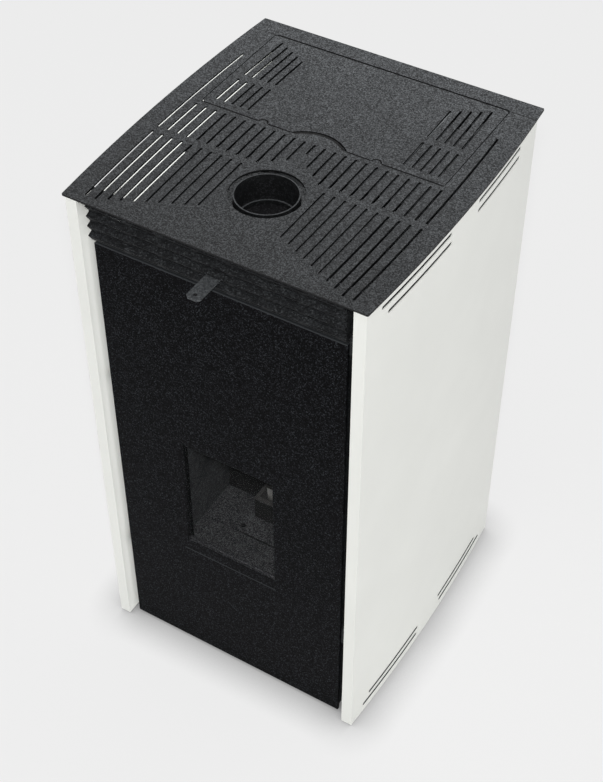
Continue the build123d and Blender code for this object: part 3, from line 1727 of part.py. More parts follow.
with BuildPart() as door_knuckles:
    moving_spans = (
        (lower_hinge + fit_gap, lower_hinge + fit_gap + knuckle_tall),
        (upper_hinge - fit_gap - knuckle_tall, upper_hinge - fit_gap),
    )
    for low, high in moving_spans:
        with BuildSketch(Plane.XY.offset(low)):
            with Locations(hinge_at):
                Circle(knuckle_radius)
            rect(
                frame_half,
                hinge_place,
                at(frame_depth) + fit_gap,
                at(frame_depth) + fit_gap + hinge_arm_sheet,
            )
            with Locations(hinge_at):
                Circle(hinge_pin_radius + hinge_pin_play, mode=Mode.SUBTRACT)
        extrude(amount=high - low)
save(door_knuckles, "door_knuckles")

# ---- Door catches on the left edge, and the strikers that they push into ----
with BuildPart() as door_catches:
    for height in catch_heights:
        with BuildSketch(Plane.XY.offset(height - catch_tall / 2)):
            rect(
                -frame_half - catch_sheet,
                -frame_half,
                at(frame_depth + catch_set_back),
                at(frame_depth + frame_deep - 1),
            )
            rect(
                -catch_place - catch_sheet / 2,
                -frame_half,
                at(frame_depth + catch_set_back),
                at(frame_depth + catch_set_back) + catch_sheet,
            )
            rect(
                -catch_place - catch_sheet / 2,
                -catch_place + catch_sheet / 2,
                at(frame_depth + catch_set_back),
                at(catch_tip_depth),
            )
        extrude(amount=catch_tall)
save(door_catches, "door_catches")

with BuildPart() as catch_strikers:
    striker_inner = catch_sheet / 2 + striker_gap
    striker_outer = striker_inner + striker_leaf
    for height in catch_heights:
        with BuildSketch(Plane.XY.offset(height - catch_tall / 2)):
            rect(
                -catch_place - striker_outer,
                -catch_place + striker_outer,
                at(striker_front_depth),
                at(mask_depth),
            )
            rect(
                -catch_place - striker_inner,
                -catch_place + striker_inner,
                at(striker_front_depth) - 1,
                at(mask_depth) - catch_sheet,
                Mode.SUBTRACT,
            )
        extrude(amount=catch_tall)
save(catch_strikers, "catch_strikers")
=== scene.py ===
import json
import math

import bmesh
import bpy
from mathutils import Matrix, Vector


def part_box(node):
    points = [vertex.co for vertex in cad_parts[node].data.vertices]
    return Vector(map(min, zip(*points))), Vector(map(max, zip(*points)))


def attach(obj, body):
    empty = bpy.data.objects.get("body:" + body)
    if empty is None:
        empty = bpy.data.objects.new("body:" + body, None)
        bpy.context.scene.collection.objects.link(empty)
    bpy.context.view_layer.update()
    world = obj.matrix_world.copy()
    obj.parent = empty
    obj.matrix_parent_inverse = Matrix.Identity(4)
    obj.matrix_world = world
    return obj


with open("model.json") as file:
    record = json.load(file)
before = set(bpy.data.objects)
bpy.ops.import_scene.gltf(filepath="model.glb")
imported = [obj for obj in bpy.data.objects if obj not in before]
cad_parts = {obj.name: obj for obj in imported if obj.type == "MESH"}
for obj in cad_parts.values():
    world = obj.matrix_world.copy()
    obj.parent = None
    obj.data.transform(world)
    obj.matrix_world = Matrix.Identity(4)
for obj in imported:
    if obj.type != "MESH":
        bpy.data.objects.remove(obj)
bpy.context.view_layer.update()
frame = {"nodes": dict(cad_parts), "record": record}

nodes = frame["nodes"]

MM = 0.001

# the clear window in the printed door glass, and the rule printed below it
WINDOW_LEFT = -86 * MM
WINDOW_RIGHT = 90 * MM
WINDOW_LOW = 302 * MM
WINDOW_HIGH = 546 * MM
RULE_LEFT = -96 * MM
RULE_RIGHT = 91 * MM
RULE_LOW = 274 * MM
RULE_HIGH = 276.5 * MM
GLASS_LOW, GLASS_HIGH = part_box("door_glass")
GLASS_INSIDE = GLASS_LOW[1] + 0.5 * MM      # anywhere between its two faces
BARE_MARGIN = 15 * MM                       # unprinted round the window, on the rear face
ARRIS_HEIGHT = 1.4 * MM
ARRIS_DEPTH = 1.2 * MM

# the rails just under the window, painted pale: fly ash, and painted light where shade falls
ASH_AND_LIGHT_LEFT = WINDOW_LEFT - 4 * MM
ASH_AND_LIGHT_RIGHT = WINDOW_RIGHT
ASH_AND_LIGHT_LOW = WINDOW_LOW - 30 * MM
ASH_AND_LIGHT_HIGH = WINDOW_LOW + 2 * MM

# painted shade along the seam of the hopper lid: each band from its near to its far limit
SEAM_REAR = (245.0 * MM, 246.4 * MM)
SEAM_FRONT = (21.5 * MM, 23.4 * MM)
SEAM_ACROSS = (50 * MM, 215 * MM)           # on either side of the recess for the flue
SEAM_CURVES_FROM = 23.2 * MM                # the recess and the notches lie behind this
RECESS_CENTRE = -23.7 * MM
RECESS_BAND = (61.9 * MM, 67.5 * MM)
NOTCH_ACROSS = 100 * MM
NOTCH_CENTRE = 22.3 * MM
NOTCH_BAND = (6.4 * MM, 8.6 * MM)
NOTCH_CLEAR = 9.5 * MM

# upward faces of the powder coat darker at the front, at full tone from here towards the rear
DARKEST_AT_FRONT = -280 * MM
FULL_AT_REAR = 240 * MM

# the damper sheet: the hole of its tab, whose walls and lip are painted dark as painted shade, and
# where the heat begins to burn it
TAB_HOLE = -317 * MM
TAB_HOLE_LIP = 3.1 * MM
BURNT_EDGE = (-272 * MM, -262 * MM)

LOW_SLOTS = 200 * MM                        # the slots near the floor lie below this

# the joint of the two floor plates in the firebox, sooty beside the burn pot
FLOOR_JOINT = -173.5 * MM
FLOOR_JOINT_HALF = 1.8 * MM
FLOOR_JOINT_FADE = (-55 * MM, -35 * MM)

# the depths where the burn pot's rear wall begins, and the heights over which its ash thickens
POT_REAR = (-112 * MM, -108 * MM)
POT_ASH = (276 * MM, 292 * MM)


# ---------------------------------------------------------------- small helpers
def rgb(hex_code, alpha=1.0):
    """An sRGB hex colour as linear values."""
    channels = [int(hex_code[i : i + 2], 16) / 255 for i in (1, 3, 5)]
    linear = [c / 12.92 if c <= 0.04045 else ((c + 0.055) / 1.055) ** 2.4 for c in channels]
    return (*linear, alpha)


def grain(size_mm):
    """Scale of a pattern on object coordinates whose features are this large."""
    return 1000.0 / size_mm


def feed(tree, socket, source):
    """A socket linked to another one, or set to a plain value."""
    if isinstance(source, bpy.types.NodeSocket):
        tree.links.new(source, socket)
    else:
        socket.default_value = source


def add(tree, kind, values=None, links=None, **settings):
    """A node with its settings, socket values and incoming links."""
    node = tree.nodes.new(kind)
    for name, value in settings.items():
        setattr(node, name, value)
    for socket, value in (values or {}).items():
        node.inputs[socket].default_value = value
    for socket, source in (links or {}).items():
        tree.links.new(source, node.inputs[socket])
    return node


def start_material(name):
    """A new material with its shader and object coordinates."""
    material = bpy.data.materials.new(name)
    material.use_nodes = True
    tree = material.node_tree
    tree.nodes.clear()
    output = add(tree, "ShaderNodeOutputMaterial")
    shader = add(tree, "ShaderNodeBsdfPrincipled")
    tree.links.new(shader.outputs["BSDF"], output.inputs["Surface"])
    place = add(tree, "ShaderNodeTexCoord").outputs["Object"]
    return material, tree, shader, place


def dress(tree, shader, colour, roughness):
    """Colour and roughness of a shader, each a pattern or one value."""
    feed(tree, shader.inputs["Base Color"], colour)
    feed(tree, shader.inputs["Roughness"], roughness)


def emboss(tree, shader, height, depth_mm, strength):
    """Bump of this depth on a shader."""
    values = {"Strength": strength, "Distance": depth_mm * MM}
    bump = add(tree, "ShaderNodeBump", values, {"Height": height})
    tree.links.new(bump.outputs["Normal"], shader.inputs["Normal"])


def noise(tree, place, size_mm, detail=2.0, rough=0.5):
    """Cloudy pattern with features of this size."""
    values = {"Scale": grain(size_mm), "Detail": detail, "Roughness": rough}
    return add(tree, "ShaderNodeTexNoise", values, {"Vector": place}).outputs["Fac"]


def speckle(tree, place, size_mm):
    """Three random values for each grain of about this size."""
    values = {"Scale": grain(size_mm), "Randomness": 1.0}
    cells = add(tree, "ShaderNodeTexVoronoi", values, {"Vector": place})
    return add(tree, "ShaderNodeSeparateColor", links={"Color": cells.outputs["Color"]}).outputs


def ramp(tree, source, *stops):
    """A colour ramp of (position, hex colour) stops."""
    node = add(tree, "ShaderNodeValToRGB", links={"Fac": source})
    marks = node.color_ramp.elements
    while len(marks) < len(stops):
        marks.new(0.5)
    for mark, (position, colour) in zip(marks, stops):
        mark.position = position
        mark.color = rgb(colour)
    return node.outputs["Color"]


def spread(tree, source, low, high, from_low=0.0, from_high=1.0):
    """A value mapped to a range, for roughness and the like."""
    values = {"From Min": from_low, "From Max": from_high, "To Min": low, "To Max": high}
    return add(tree, "ShaderNodeMapRange", values, {"Value": source}).outputs["Result"]


def mix_colour(tree, kind, amount, first, second):
    """Two colours mixed; each of amount, first and second is a socket or a value."""
    node = add(tree, "ShaderNodeMix", data_type="RGBA", blend_type=kind)
    for number, source in ((0, amount), (6, first), (7, second)):
        feed(tree, node.inputs[number], source)
    return node.outputs[2]


def maths(tree, kind, first, second=0.0):
    """A sum on two sockets, or on a socket and a number."""
    node = add(tree, "ShaderNodeMath", operation=kind)
    for socket, source in zip(node.inputs, (first, second)):
        feed(tree, socket, source)
    return node.outputs[0]


def axes_of(tree, vector):
    """The X, Y and Z sockets of a vector socket."""
    return add(tree, "ShaderNodeSeparateXYZ", links={"Vector": vector}).outputs


def facing(tree):
    """The X, Y and Z sockets of the object's own normal."""
    return axes_of(tree, add(tree, "ShaderNodeTexCoord").outputs["Normal"])


# ---------------------------------------------------------------- places on the object
def between(tree, value, low, high):
    """1 where the value lies between the two limits."""
    above = maths(tree, "GREATER_THAN", value, low)
    return maths(tree, "MULTIPLY", above, maths(tree, "LESS_THAN", value, high))


def fade(tree, value, start, full):
    """0 up to the first limit, 1 from the second on, and even between them."""
    return spread(tree, value, 0.0, 1.0, start, full)


def distance(tree, value, middle):
    """How far a value lies from the middle, on either side."""
    return maths(tree, "ABSOLUTE", maths(tree, "SUBTRACT", value, middle))


def radius_from(tree, along_x, along_y):
    """Length of a flat vector from its two parts."""
    squares = [maths(tree, "POWER", part, 2.0) for part in (along_x, along_y)]
    return maths(tree, "SQRT", maths(tree, "ADD", *squares))


def upward(tree):
    """1 on faces that look up, 0 on walls and undersides, by the object's own normals."""
    return fade(tree, facing(tree)["Z"], 0.35, 0.85)


def upright_box(tree, place, left, right, low, high, wider=0.0):
    """1 inside an upright rectangle of object coordinates, made wider all round, 0 outside it."""
    axes = axes_of(tree, place)
    shares = []
    for axis, first, last in (("X", left, right), ("Z", low, high)):
        off = distance(tree, axes[axis], (first + last) / 2)
        off = maths(tree, "SUBTRACT", off, wider)
        shares.append(maths(tree, "LESS_THAN", off, (last - first) / 2))
    return maths(tree, "MULTIPLY", *shares)


def top_arris_highlight(tree, place):
    """1 along the front edge of the glass at its top, where a highlight is painted."""
    axes = axes_of(tree, place)
    high = maths(tree, "GREATER_THAN", axes["Z"], GLASS_HIGH[2] - ARRIS_HEIGHT)
    front = maths(tree, "LESS_THAN", axes["Y"], GLASS_LOW[1] + ARRIS_DEPTH)
    return maths(tree, "MULTIPLY", high, front)


def lid_seam_shade(tree, place):
    """1 in the painted shade along the seam of the hopper lid: its rear edge, front, recess and
    notches.
    """
    axes = axes_of(tree, place)
    rear = between(tree, axes["Y"], *SEAM_REAR)
    side = maths(tree, "ABSOLUTE", axes["X"])
    front = between(tree, axes["Y"], *SEAM_FRONT)
    from_notch = distance(tree, side, NOTCH_ACROSS)
    plain = maths(tree, "MULTIPLY", between(tree, side, *SEAM_ACROSS), front)
    plain = maths(tree, "MULTIPLY", plain, maths(tree, "GREATER_THAN", from_notch, NOTCH_CLEAR))
    behind = maths(tree, "GREATER_THAN", axes["Y"], SEAM_CURVES_FROM)
    seam = maths(tree, "MAXIMUM", rear, plain)
    for across, centre, band in (
        (axes["X"], RECESS_CENTRE, RECESS_BAND),
        (from_notch, NOTCH_CENTRE, NOTCH_BAND),
    ):
        off = radius_from(tree, across, maths(tree, "SUBTRACT", axes["Y"], centre))
        curve = maths(tree, "MULTIPLY", behind, between(tree, off, *band))
        seam = maths(tree, "MAXIMUM", seam, curve)
    return seam


# ---------------------------------------------------------------- materials
# The real grain of the coats, the paint, the glass print and the fly ash is under 1 mm, too fine
# to show at the size of the picture, so it is drawn 1.2 to 2 mm coarse.


def powder_coat(name, edge_tones, dust_and_sheen_tones, seamed=False):
    """Textured charcoal powder coat: hard grains of 1.5 to 2 mm; upward faces paler, partly dust
    and partly a painted sheen.

    Their upward faces darken towards the front.
    """
    material, tree, shader, place = start_material(name)
    cells = speckle(tree, place, 1.6)
    fine = noise(tree, place, 1.3, 2.0, 0.7)
    cloud = noise(tree, place, 90.0)
    bare = ramp(tree, cells["Red"], *zip((0.0, 0.6, 1.0), edge_tones))
    dust_and_sheen = ramp(tree, cells["Red"], *zip((0.0, 0.5, 1.0), dust_and_sheen_tones))
    shade = ramp(tree, cloud, (0.3, "#eeeeee"), (0.7, "#ffffff"))
    # upward faces darker towards the front
    rearward = fade(tree, axes_of(tree, place)["Y"], DARKEST_AT_FRONT, FULL_AT_REAR)
    front_darkening = ramp(tree, rearward, (0.0, "#b6b6b6"), (0.75, "#e8e8e8"), (1.0, "#ffffff"))
    dust_and_sheen = mix_colour(tree, "MULTIPLY", 1.0, dust_and_sheen, front_darkening)
    if seamed:
        # the seam's bands painted nearly black: painted shade
        dust_and_sheen = mix_colour(tree, "MIX", lid_seam_shade(tree, place), dust_and_sheen, rgb("#060607"))
    # upward faces take the dust and painted sheen tones, the walls the plain ones
    colour = mix_colour(tree, "MIX", upward(tree), bare, dust_and_sheen)
    colour = mix_colour(tree, "MULTIPLY", 1.0, colour, shade)
    dress(tree, shader, colour, spread(tree, cells["Green"], 0.5, 0.75))
    shader.inputs["Specular IOR Level"].default_value = 0.25
    emboss(tree, shader, fine, 0.12, 0.5)
    return material


def burnt_powder_coat():
    """The damper sheet: powder coat on its tab, burnt black inside the stove.

    The hole of the tab and its lip are painted as dark as the soot: painted shade.
    """
    material, tree, shader, place = start_material("damper_sheet")
    cells = speckle(tree, place, 2.0)
    axes = axes_of(tree, place)
    from_hole = radius_from(tree, axes["X"], maths(tree, "SUBTRACT", axes["Y"], TAB_HOLE))
    # painted shade: the hole's walls and lip as dark as the soot
    hole_shade = maths(tree, "LESS_THAN", from_hole, TAB_HOLE_LIP)
    darkened = maths(tree, "MAXIMUM", fade(tree, axes["Y"], *BURNT_EDGE), hole_shade)
    coat = ramp(tree, cells["Red"], (0.0, "#313335"), (0.5, "#424446"), (1.0, "#575a5c"))
    soot_and_hole_shade = ramp(tree, cells["Red"], (0.0, "#08080a"), (0.7, "#121214"), (1.0, "#2c2c2e"))
    colour = mix_colour(tree, "MIX", darkened, coat, soot_and_hole_shade)
    dress(tree, shader, colour, spread(tree, cells["Green"], 0.55, 0.8))
    shader.inputs["Specular IOR Level"].default_value = 0.2
    emboss(tree, shader, noise(tree, place, 1.3, 2.0, 0.7), 0.1, 0.5)
    return material


def white_enamel():
    """Smooth warm white stoving enamel: a faint orange peel of about 3 mm.

    The lower walls of the slots near the floor are painted dark grey: painted shade.
    """
    material, tree, shader, place = start_material("white_enamel")
    peel = noise(tree, place, 3.0, 1.0)
    colour = ramp(tree, noise(tree, place, 180.0), (0.3, "#e5e6e1"), (0.7, "#eaebe6"))
    low = maths(tree, "LESS_THAN", axes_of(tree, place)["Z"], LOW_SLOTS)
    # painted shade on the upward faces near the floor, the lower walls of the slots
    slot_floor_shade = maths(tree, "MULTIPLY", upward(tree), low)
    colour = mix_colour(tree, "MIX", slot_floor_shade, colour, rgb("#3a3c3d"))
    dress(tree, shader, colour, spread(tree, peel, 0.34, 0.42))
    emboss(tree, shader, peel, 0.03, 0.25)
    return material


def stove_paint(name, ash=False):
    """Matt black heat-proof paint with a dry, dusty spray grain of about 2 mm.

    Where it is wanted, the rails below the fire window and the upper faces are painted pale grey:
    fly ash and dust, and painted light.
    """
    material, tree, shader, place = start_material(name)
    red = speckle(tree, place, 1.8)["Red"]
    cloud = noise(tree, place, 45.0, 3.0)
    colour = ramp(tree, red, (0.0, "#0d0e0f"), (0.5, "#1b1c1e"), (0.9, "#313335"), (1.0, "#46484a"))
    if ash:
        greyed = ramp(tree, red, (0.0, "#38393c"), (0.5, "#56575a"), (1.0, "#808184"))
        # pale grey on the rails and the upward faces: fly ash and dust, and painted light where
        # shade falls
        rail = upright_box(tree, place, ASH_AND_LIGHT_LEFT, ASH_AND_LIGHT_RIGHT, ASH_AND_LIGHT_LOW, ASH_AND_LIGHT_HIGH)
        dust_and_light = maths(tree, "MULTIPLY", upward(tree), 0.65)
        for amount in (rail, dust_and_light):
            colour = mix_colour(tree, "MIX", amount, colour, greyed)
    dust = ramp(tree, cloud, (0.35, "#dcdcdc"), (0.75, "#ffffff"))
    colour = mix_colour(tree, "MULTIPLY", 1.0, colour, dust)
    dress(tree, shader, colour, spread(tree, cloud, 0.62, 0.76))
    shader.inputs["Specular IOR Level"].default_value = 0.15
    emboss(tree, shader, noise(tree, place, 1.2, 2.0, 0.7), 0.08, 0.5)
    return material


def galvanised():
    """Hot-dip zinc on sheet: spangles of 8 to 12 mm, each with its own grey."""
    material, tree, shader, place = start_material("galvanised_sheet")
    spangles = speckle(tree, place, 10.0)
    colour = ramp(tree, spangles["Red"], (0.0, "#9da1a4"), (1.0, "#b9bcbe"))
    dress(tree, shader, colour, spread(tree, spangles["Green"], 0.34, 0.52))
    shader.inputs["Metallic"].default_value = 0.9
    emboss(tree, shader, noise(tree, place, 2.0), 0.02, 0.3)
    return material


def bright_steel():
    """Bright drawn steel with fine scratches along the draw."""
    material, tree, shader, place = start_material("bright_steel")
    stretch = add(tree, "ShaderNodeMapping", {"Scale": (1.0, 1.0, 0.06)}, {"Vector": place})
    lines = noise(tree, stretch.outputs["Vector"], 0.6)
    colour = ramp(tree, noise(tree, place, 14.0, 3.0), (0.3, "#a2a3a4"), (0.7, "#bcbcbb"))
    dress(tree, shader, colour, spread(tree, lines, 0.22, 0.44))
    shader.inputs["Metallic"].default_value = 1.0
    emboss(tree, shader, lines, 0.01, 0.3)
    return material


def cast_iron(name, sooty_joint=False):
    """Sand-cast iron, pitted at about 1.5 mm, with grey fly ash on its upward faces.

    The draught draws soot out of the joint of the floor plates, beside the burn pot.
    """
    material, tree, shader, place = start_material(name)
    sand = noise(tree, place, 1.5, 4.0, 0.7)
    cells = speckle(tree, place, 1.8)
    drift = noise(tree, place, 40.0, 3.0, 0.6)
    iron = ramp(tree, sand, (0.25, "#1c1c1c"), (0.75, "#383838"))
    ash = ramp(tree, cells["Red"], (0.0, "#303134"), (0.5, "#515254"), (1.0, "#808184"))
    shade = ramp(tree, drift, (0.3, "#dcdcdc"), (0.7, "#ffffff"))
    colour = mix_colour(tree, "MIX", upward(tree), iron, ash)
    if sooty_joint:
        axes = axes_of(tree, place)
        off = distance(tree, axes["Y"], FLOOR_JOINT)
        sooty = maths(tree, "MULTIPLY", maths(tree, "LESS_THAN", off, FLOOR_JOINT_HALF), 0.75)
        sooty = maths(tree, "MULTIPLY", sooty, fade(tree, axes["X"], *FLOOR_JOINT_FADE))
        colour = mix_colour(tree, "MIX", sooty, colour, rgb("#1a1a1a"))
    colour = mix_colour(tree, "MULTIPLY", 1.0, colour, shade)
    dress(tree, shader, colour, spread(tree, sand, 0.6, 0.85))
    emboss(tree, shader, sand, 0.25, 0.6)
    return material


def fire_board(name, dark, light):
    """Pressed mineral fire board: flakes of 3 to 5 mm, smoked by the fire."""
    material, tree, shader, place = start_material(name)
    flakes = speckle(tree, place, 4.0)
    smoke = noise(tree, place, 90.0, 4.0, 0.6)
    colour = ramp(tree, flakes["Blue"], (0.0, dark), (1.0, light))
    shade = ramp(tree, smoke, (0.3, "#8a8a8a"), (0.75, "#ffffff"))
    dress(tree, shader, mix_colour(tree, "MULTIPLY", 1.0, colour, shade), 0.92)
    emboss(tree, shader, noise(tree, place, 3.0, 3.0), 0.3, 0.5)
    return material


def ashed_steel():
    """Heat-proof steel of the burn pot: thin fly ash, thick on its rear wall, and darker on faces
    that look towards +X.
    """
    material, tree, shader, place = start_material("ashed_steel")
    crust = noise(tree, place, 8.0, 4.0, 0.6)
    cells = speckle(tree, place, 1.6)
    thin = ramp(tree, crust, (0.3, "#5f5e5d"), (0.8, "#757472"))
    thick = ramp(tree, crust, (0.3, "#d2d0cc"), (0.8, "#eae8e4"))
    walls, axes = facing(tree), axes_of(tree, place)
    rear = spread(tree, walls["Y"], 1.0, 0.0, -0.9, -0.5)
    rear = maths(tree, "MULTIPLY", rear, fade(tree, axes["Y"], *POT_REAR))
    rear = maths(tree, "MULTIPLY", rear, fade(tree, axes["Z"], *POT_ASH))
    colour = mix_colour(tree, "MIX", rear, thin, thick)
    # darker on faces that look towards +X
    darkened = spread(tree, walls["X"], 0.0, 0.85, 0.3, 0.7)
    colour = mix_colour(tree, "MIX", darkened, colour, rgb("#5a5958"))
    shade = ramp(tree, cells["Red"], (0.0, "#d8d8d8"), (1.0, "#ffffff"))
    colour = mix_colour(tree, "MULTIPLY", 1.0, colour, shade)
    dress(tree, shader, colour, spread(tree, crust, 0.65, 0.9))
    shader.inputs["Specular IOR Level"].default_value = 0.3
    emboss(tree, shader, crust, 0.15, 0.5)
    return material


def flue_paint():
    """Black flue enamel: sooty walls, and a paler film on the rim and the ledge, partly wear and
    partly a painted highlight.
    """
    material, tree, shader, place = start_material("flue_enamel")
    cells = speckle(tree, place, 1.6)
    wall = ramp(tree, cells["Red"], (0.0, "#060708"), (0.7, "#0e0f10"), (1.0, "#262729"))
    worn_and_highlight = ramp(tree, cells["Green"], (0.0, "#343638"), (1.0, "#545658"))
    # upward faces paler: wear, and a painted highlight
    colour = mix_colour(tree, "MIX", upward(tree), wall, worn_and_highlight)
    dress(tree, shader, colour, spread(tree, cells["Blue"], 0.5, 0.7))
    shader.inputs["Specular IOR Level"].default_value = 0.2
    emboss(tree, shader, noise(tree, place, 1.4), 0.06, 0.4)
    return material


def printed_glass():
    """Toughened door glass, printed black with a satin grain, clear over the fire window.

    The print is on the front face. The rear one is bare for 15 mm more round the window. The top
    edge and the upward faces carry a painted highlight, and a faint rule is printed under the
    window.
    """
    material, tree, shader, place = start_material("black_glass")
    behind = maths(tree, "GREATER_THAN", axes_of(tree, place)["Y"], GLASS_INSIDE)
    bared = maths(tree, "MULTIPLY", behind, BARE_MARGIN)
    window = (WINDOW_LEFT, WINDOW_RIGHT, WINDOW_LOW, WINDOW_HIGH)
    clear = upright_box(tree, place, *window, wider=bared)
    rule = upright_box(tree, place, RULE_LEFT, RULE_RIGHT, RULE_LOW, RULE_HIGH)
    cells = speckle(tree, place, 1.4)
    print_tones = ((0.0, "#010102"), (0.4, "#040405"), (0.8, "#0d0e10"), (1.0, "#34363a"))
    colour = ramp(tree, cells["Red"], *print_tones)
    # the rule is print; the upward faces and the top arris are a painted highlight; the window is
    # clear
    for part, tone in (
        (rule, "#303234"),
        (upward(tree), "#2e3032"),
        (top_arris_highlight(tree, place), "#393b3d"),
        (clear, "#0a0b0c"),
    ):
        colour = mix_colour(tree, "MIX", part, colour, rgb(tone))
    satin = spread(tree, cells["Green"], 0.36, 0.52)
    smooth = add(tree, "ShaderNodeMix", {3: 0.06}, {0: clear, 2: satin}, data_type="FLOAT")
    dress(tree, shader, colour, smooth.outputs[0])
    tree.links.new(spread(tree, clear, 1.0, 0.15), shader.inputs["Alpha"])
    shader.inputs["IOR"].default_value = 1.5
    shader.inputs["Specular IOR Level"].default_value = 0.025
    emboss(tree, shader, noise(tree, place, 1.4), 0.03, 0.25)
    return material


def clear_pane():
    """Clear heat-proof pane, a little smoked in clouds of about 70 mm."""
    material, tree, shader, place = start_material("clear_pane")
    smoke = noise(tree, place, 70.0, 3.0)
    dress(tree, shader, ramp(tree, smoke, (0.3, "#1b1c1c"), (0.7, "#2b2c2c")), 0.05)
    tree.links.new(spread(tree, smoke, 0.05, 0.11), shader.inputs["Alpha"])
    shader.inputs["IOR"].default_value = 1.5
    shader.inputs["Specular IOR Level"].default_value = 0.1
    return material


def seal_rope():
    """Knitted glass-fibre rope: loops every 3 mm."""
    material, tree, shader, place = start_material("seal_rope")
    lean = {"Rotation": (0.0, math.radians(45), 0.0)}
    turned = add(tree, "ShaderNodeMapping", lean, {"Vector": place}).outputs["Vector"]
    loop = {"Scale": grain(3.0) / 6.3, "Distortion": 1.2, "Detail": 1.0}
    loops = add(tree, "ShaderNodeTexWave", loop, {"Vector": turned}).outputs["Fac"]
    dress(tree, shader, ramp(tree, loops, (0.2, "#26272a"), (0.8, "#4a4b4d")), 0.9)
    emboss(tree, shader, loops, 0.5, 0.7)
    return material


def mottled(name, size_mm, detail, stops, roughness, relief, metallic=0.0):
    """A finish with one cloudy pattern in colour and gloss, and a finer one in relief.

    relief holds the size, depth and strength of the finer pattern.
    """
    material, tree, shader, place = start_material(name)
    cloud = noise(tree, place, size_mm, detail)
    dress(tree, shader, ramp(tree, cloud, *stops), spread(tree, cloud, *roughness))
    shader.inputs["Metallic"].default_value = metallic
    relief_mm, depth_mm, strength = relief
    emboss(tree, shader, noise(tree, place, relief_mm), depth_mm, strength)
    return material


def moulded_plastic(name, dark, light, roughness):
    """Injection-moulded plastic with a fine spark-eroded grain of about 0.8 mm."""
    tones = ((0.3, dark), (0.7, light))
    return mottled(name, 0.8, 2.0, tones, (roughness, roughness + 0.12), (0.8, 0.04, 0.5))


COAT_WALL = ("#0d0e0f", "#1b1c1e", "#3a3c3e")
# upward faces: dust, and a painted sheen that makes them lighter than the walls
COAT_DUST_AND_SHEEN = ("#1c1d1f", "#47494b", "#777a7d")
PLATE_WALL_SHADE = ("#030304", "#070809", "#121315")      # painted shade: the walls of the plate and its slots nearly black
# the deck under the plate: its upward faces painted pale, as painted light where the plate shades
# it
DECK_PAINTED_LIGHT = ("#3c3e40", "#66686a", "#989a9c")

CERAMIC = ((0.35, "#8d7a66"), (0.65, "#dcd6cb"))    # fired, off-white with brown scorching
RUBBER = ((0.3, "#151515"), (0.7, "#242424"))       # black silicone foam, closed-cell skin
MOTOR = ((0.3, "#4a4d51"), (0.7, "#585b5f"))        # grey dipped enamel, slightly uneven
ZINC = ((0.3, "#8f9499"), (0.7, "#b4b8bb"))         # blue passivated, mottled at about 2 mm
zinc = mottled("zinc_plate", 2.0, 3.0, ZINC, (0.25, 0.45), (0.5, 0.01, 0.3), 1.0)

# one finish for each material slot of the record
finishes = {
    "charcoal_powder_coat": powder_coat("charcoal_powder_coat", COAT_WALL, COAT_DUST_AND_SHEEN),
    "white_enamel": white_enamel(),
    "black_stove_paint": stove_paint("black_stove_paint"),
    "galvanised_sheet": galvanised(),
    "bright_steel": bright_steel(),
    "cast_iron": cast_iron("cast_iron"),
    "fire_board": fire_board("fire_board", "#47494b", "#676a6d"),
    "igniter_ceramic": mottled(
        "igniter_ceramic", 12.0, 3.0, CERAMIC, (0.5, 0.7), (0.8, 0.05, 0.4)
    ),
    "black_glass": printed_glass(),
    "clear_pane": clear_pane(),
    "seal_rope": seal_rope(),
    "gasket_rubber": mottled("gasket_rubber", 1.0, 2.0, RUBBER, (0.7, 0.9), (1.0, 0.1, 0.5)),
    "motor_paint": mottled("motor_paint", 20.0, 3.0, MOTOR, (0.35, 0.5), (1.5, 0.05, 0.4)),
    "black_plastic": moulded_plastic("black_plastic", "#161617", "#222224", 0.5),
    "grey_plastic": moulded_plastic("grey_plastic", "#8b8e90", "#979a9c", 0.45),
}

# nodes that wear, burn or gather dust in a way of their own, or carry painted light and shade
plate_coat = powder_coat("charcoal_plate_coat", PLATE_WALL_SHADE, COAT_DUST_AND_SHEEN, seamed=True)
ash_and_light_paint = stove_paint("ash_and_painted_light_paint", ash=True)
own_finish = {
    "door_frame": ash_and_light_paint,
    "window_retainer": ash_and_light_paint,
    "front_mask": ash_and_light_paint,
    "damper_slide": burnt_powder_coat(),
    "burn_pot": ashed_steel(),
    "firebox_floor": cast_iron("sooted_joint_iron", sooty_joint=True),
    # the deck's upward faces carry painted light
    "front_deck": powder_coat("deck_coat_painted_light", COAT_WALL, DECK_PAINTED_LIGHT),
    "top_plate": plate_coat,
    "hopper_lid": plate_coat,
    "flue_collar": flue_paint(),
    "lining_rear": fire_board("sooted_fire_board", "#1a1a1b", "#303031"),
}

for subpart in frame["record"]["subparts"]:
    mesh = nodes[subpart["node"]].data
    mesh.materials.clear()
    mesh.materials.append(own_finish.get(subpart["node"], finishes[subpart["material_slot"]]))


# ---------------------------------------------------------------- small fittings
REARWARDS = (math.radians(-90), 0.0, 0.0)
FORWARDS = (math.radians(90), 0.0, 0.0)

# sizes and places of the fittings are in mm
REAR_FACE = 266.5
HEAD_FACETS = 24
HEAD_PROFILE = ((1.0, 0.0), (1.0, 0.25), (0.92, 0.6), (0.74, 0.9), (0.62, 1.0))
SOCKET_PROFILE = (1.0, 0.35)                # from the top of the head down to the socket's floor


def into_scene(name, data):
    """A new object of the scene."""
    made = bpy.data.objects.new(name, data)
    bpy.context.scene.collection.objects.link(made)
    return made


def mesh_object(name, form, finish):
    """An object from a bmesh, with its finish."""
    mesh = bpy.data.meshes.new(name)
    form.to_mesh(mesh)
    form.free()
    mesh.materials.append(finish)
    return into_scene(name, mesh)


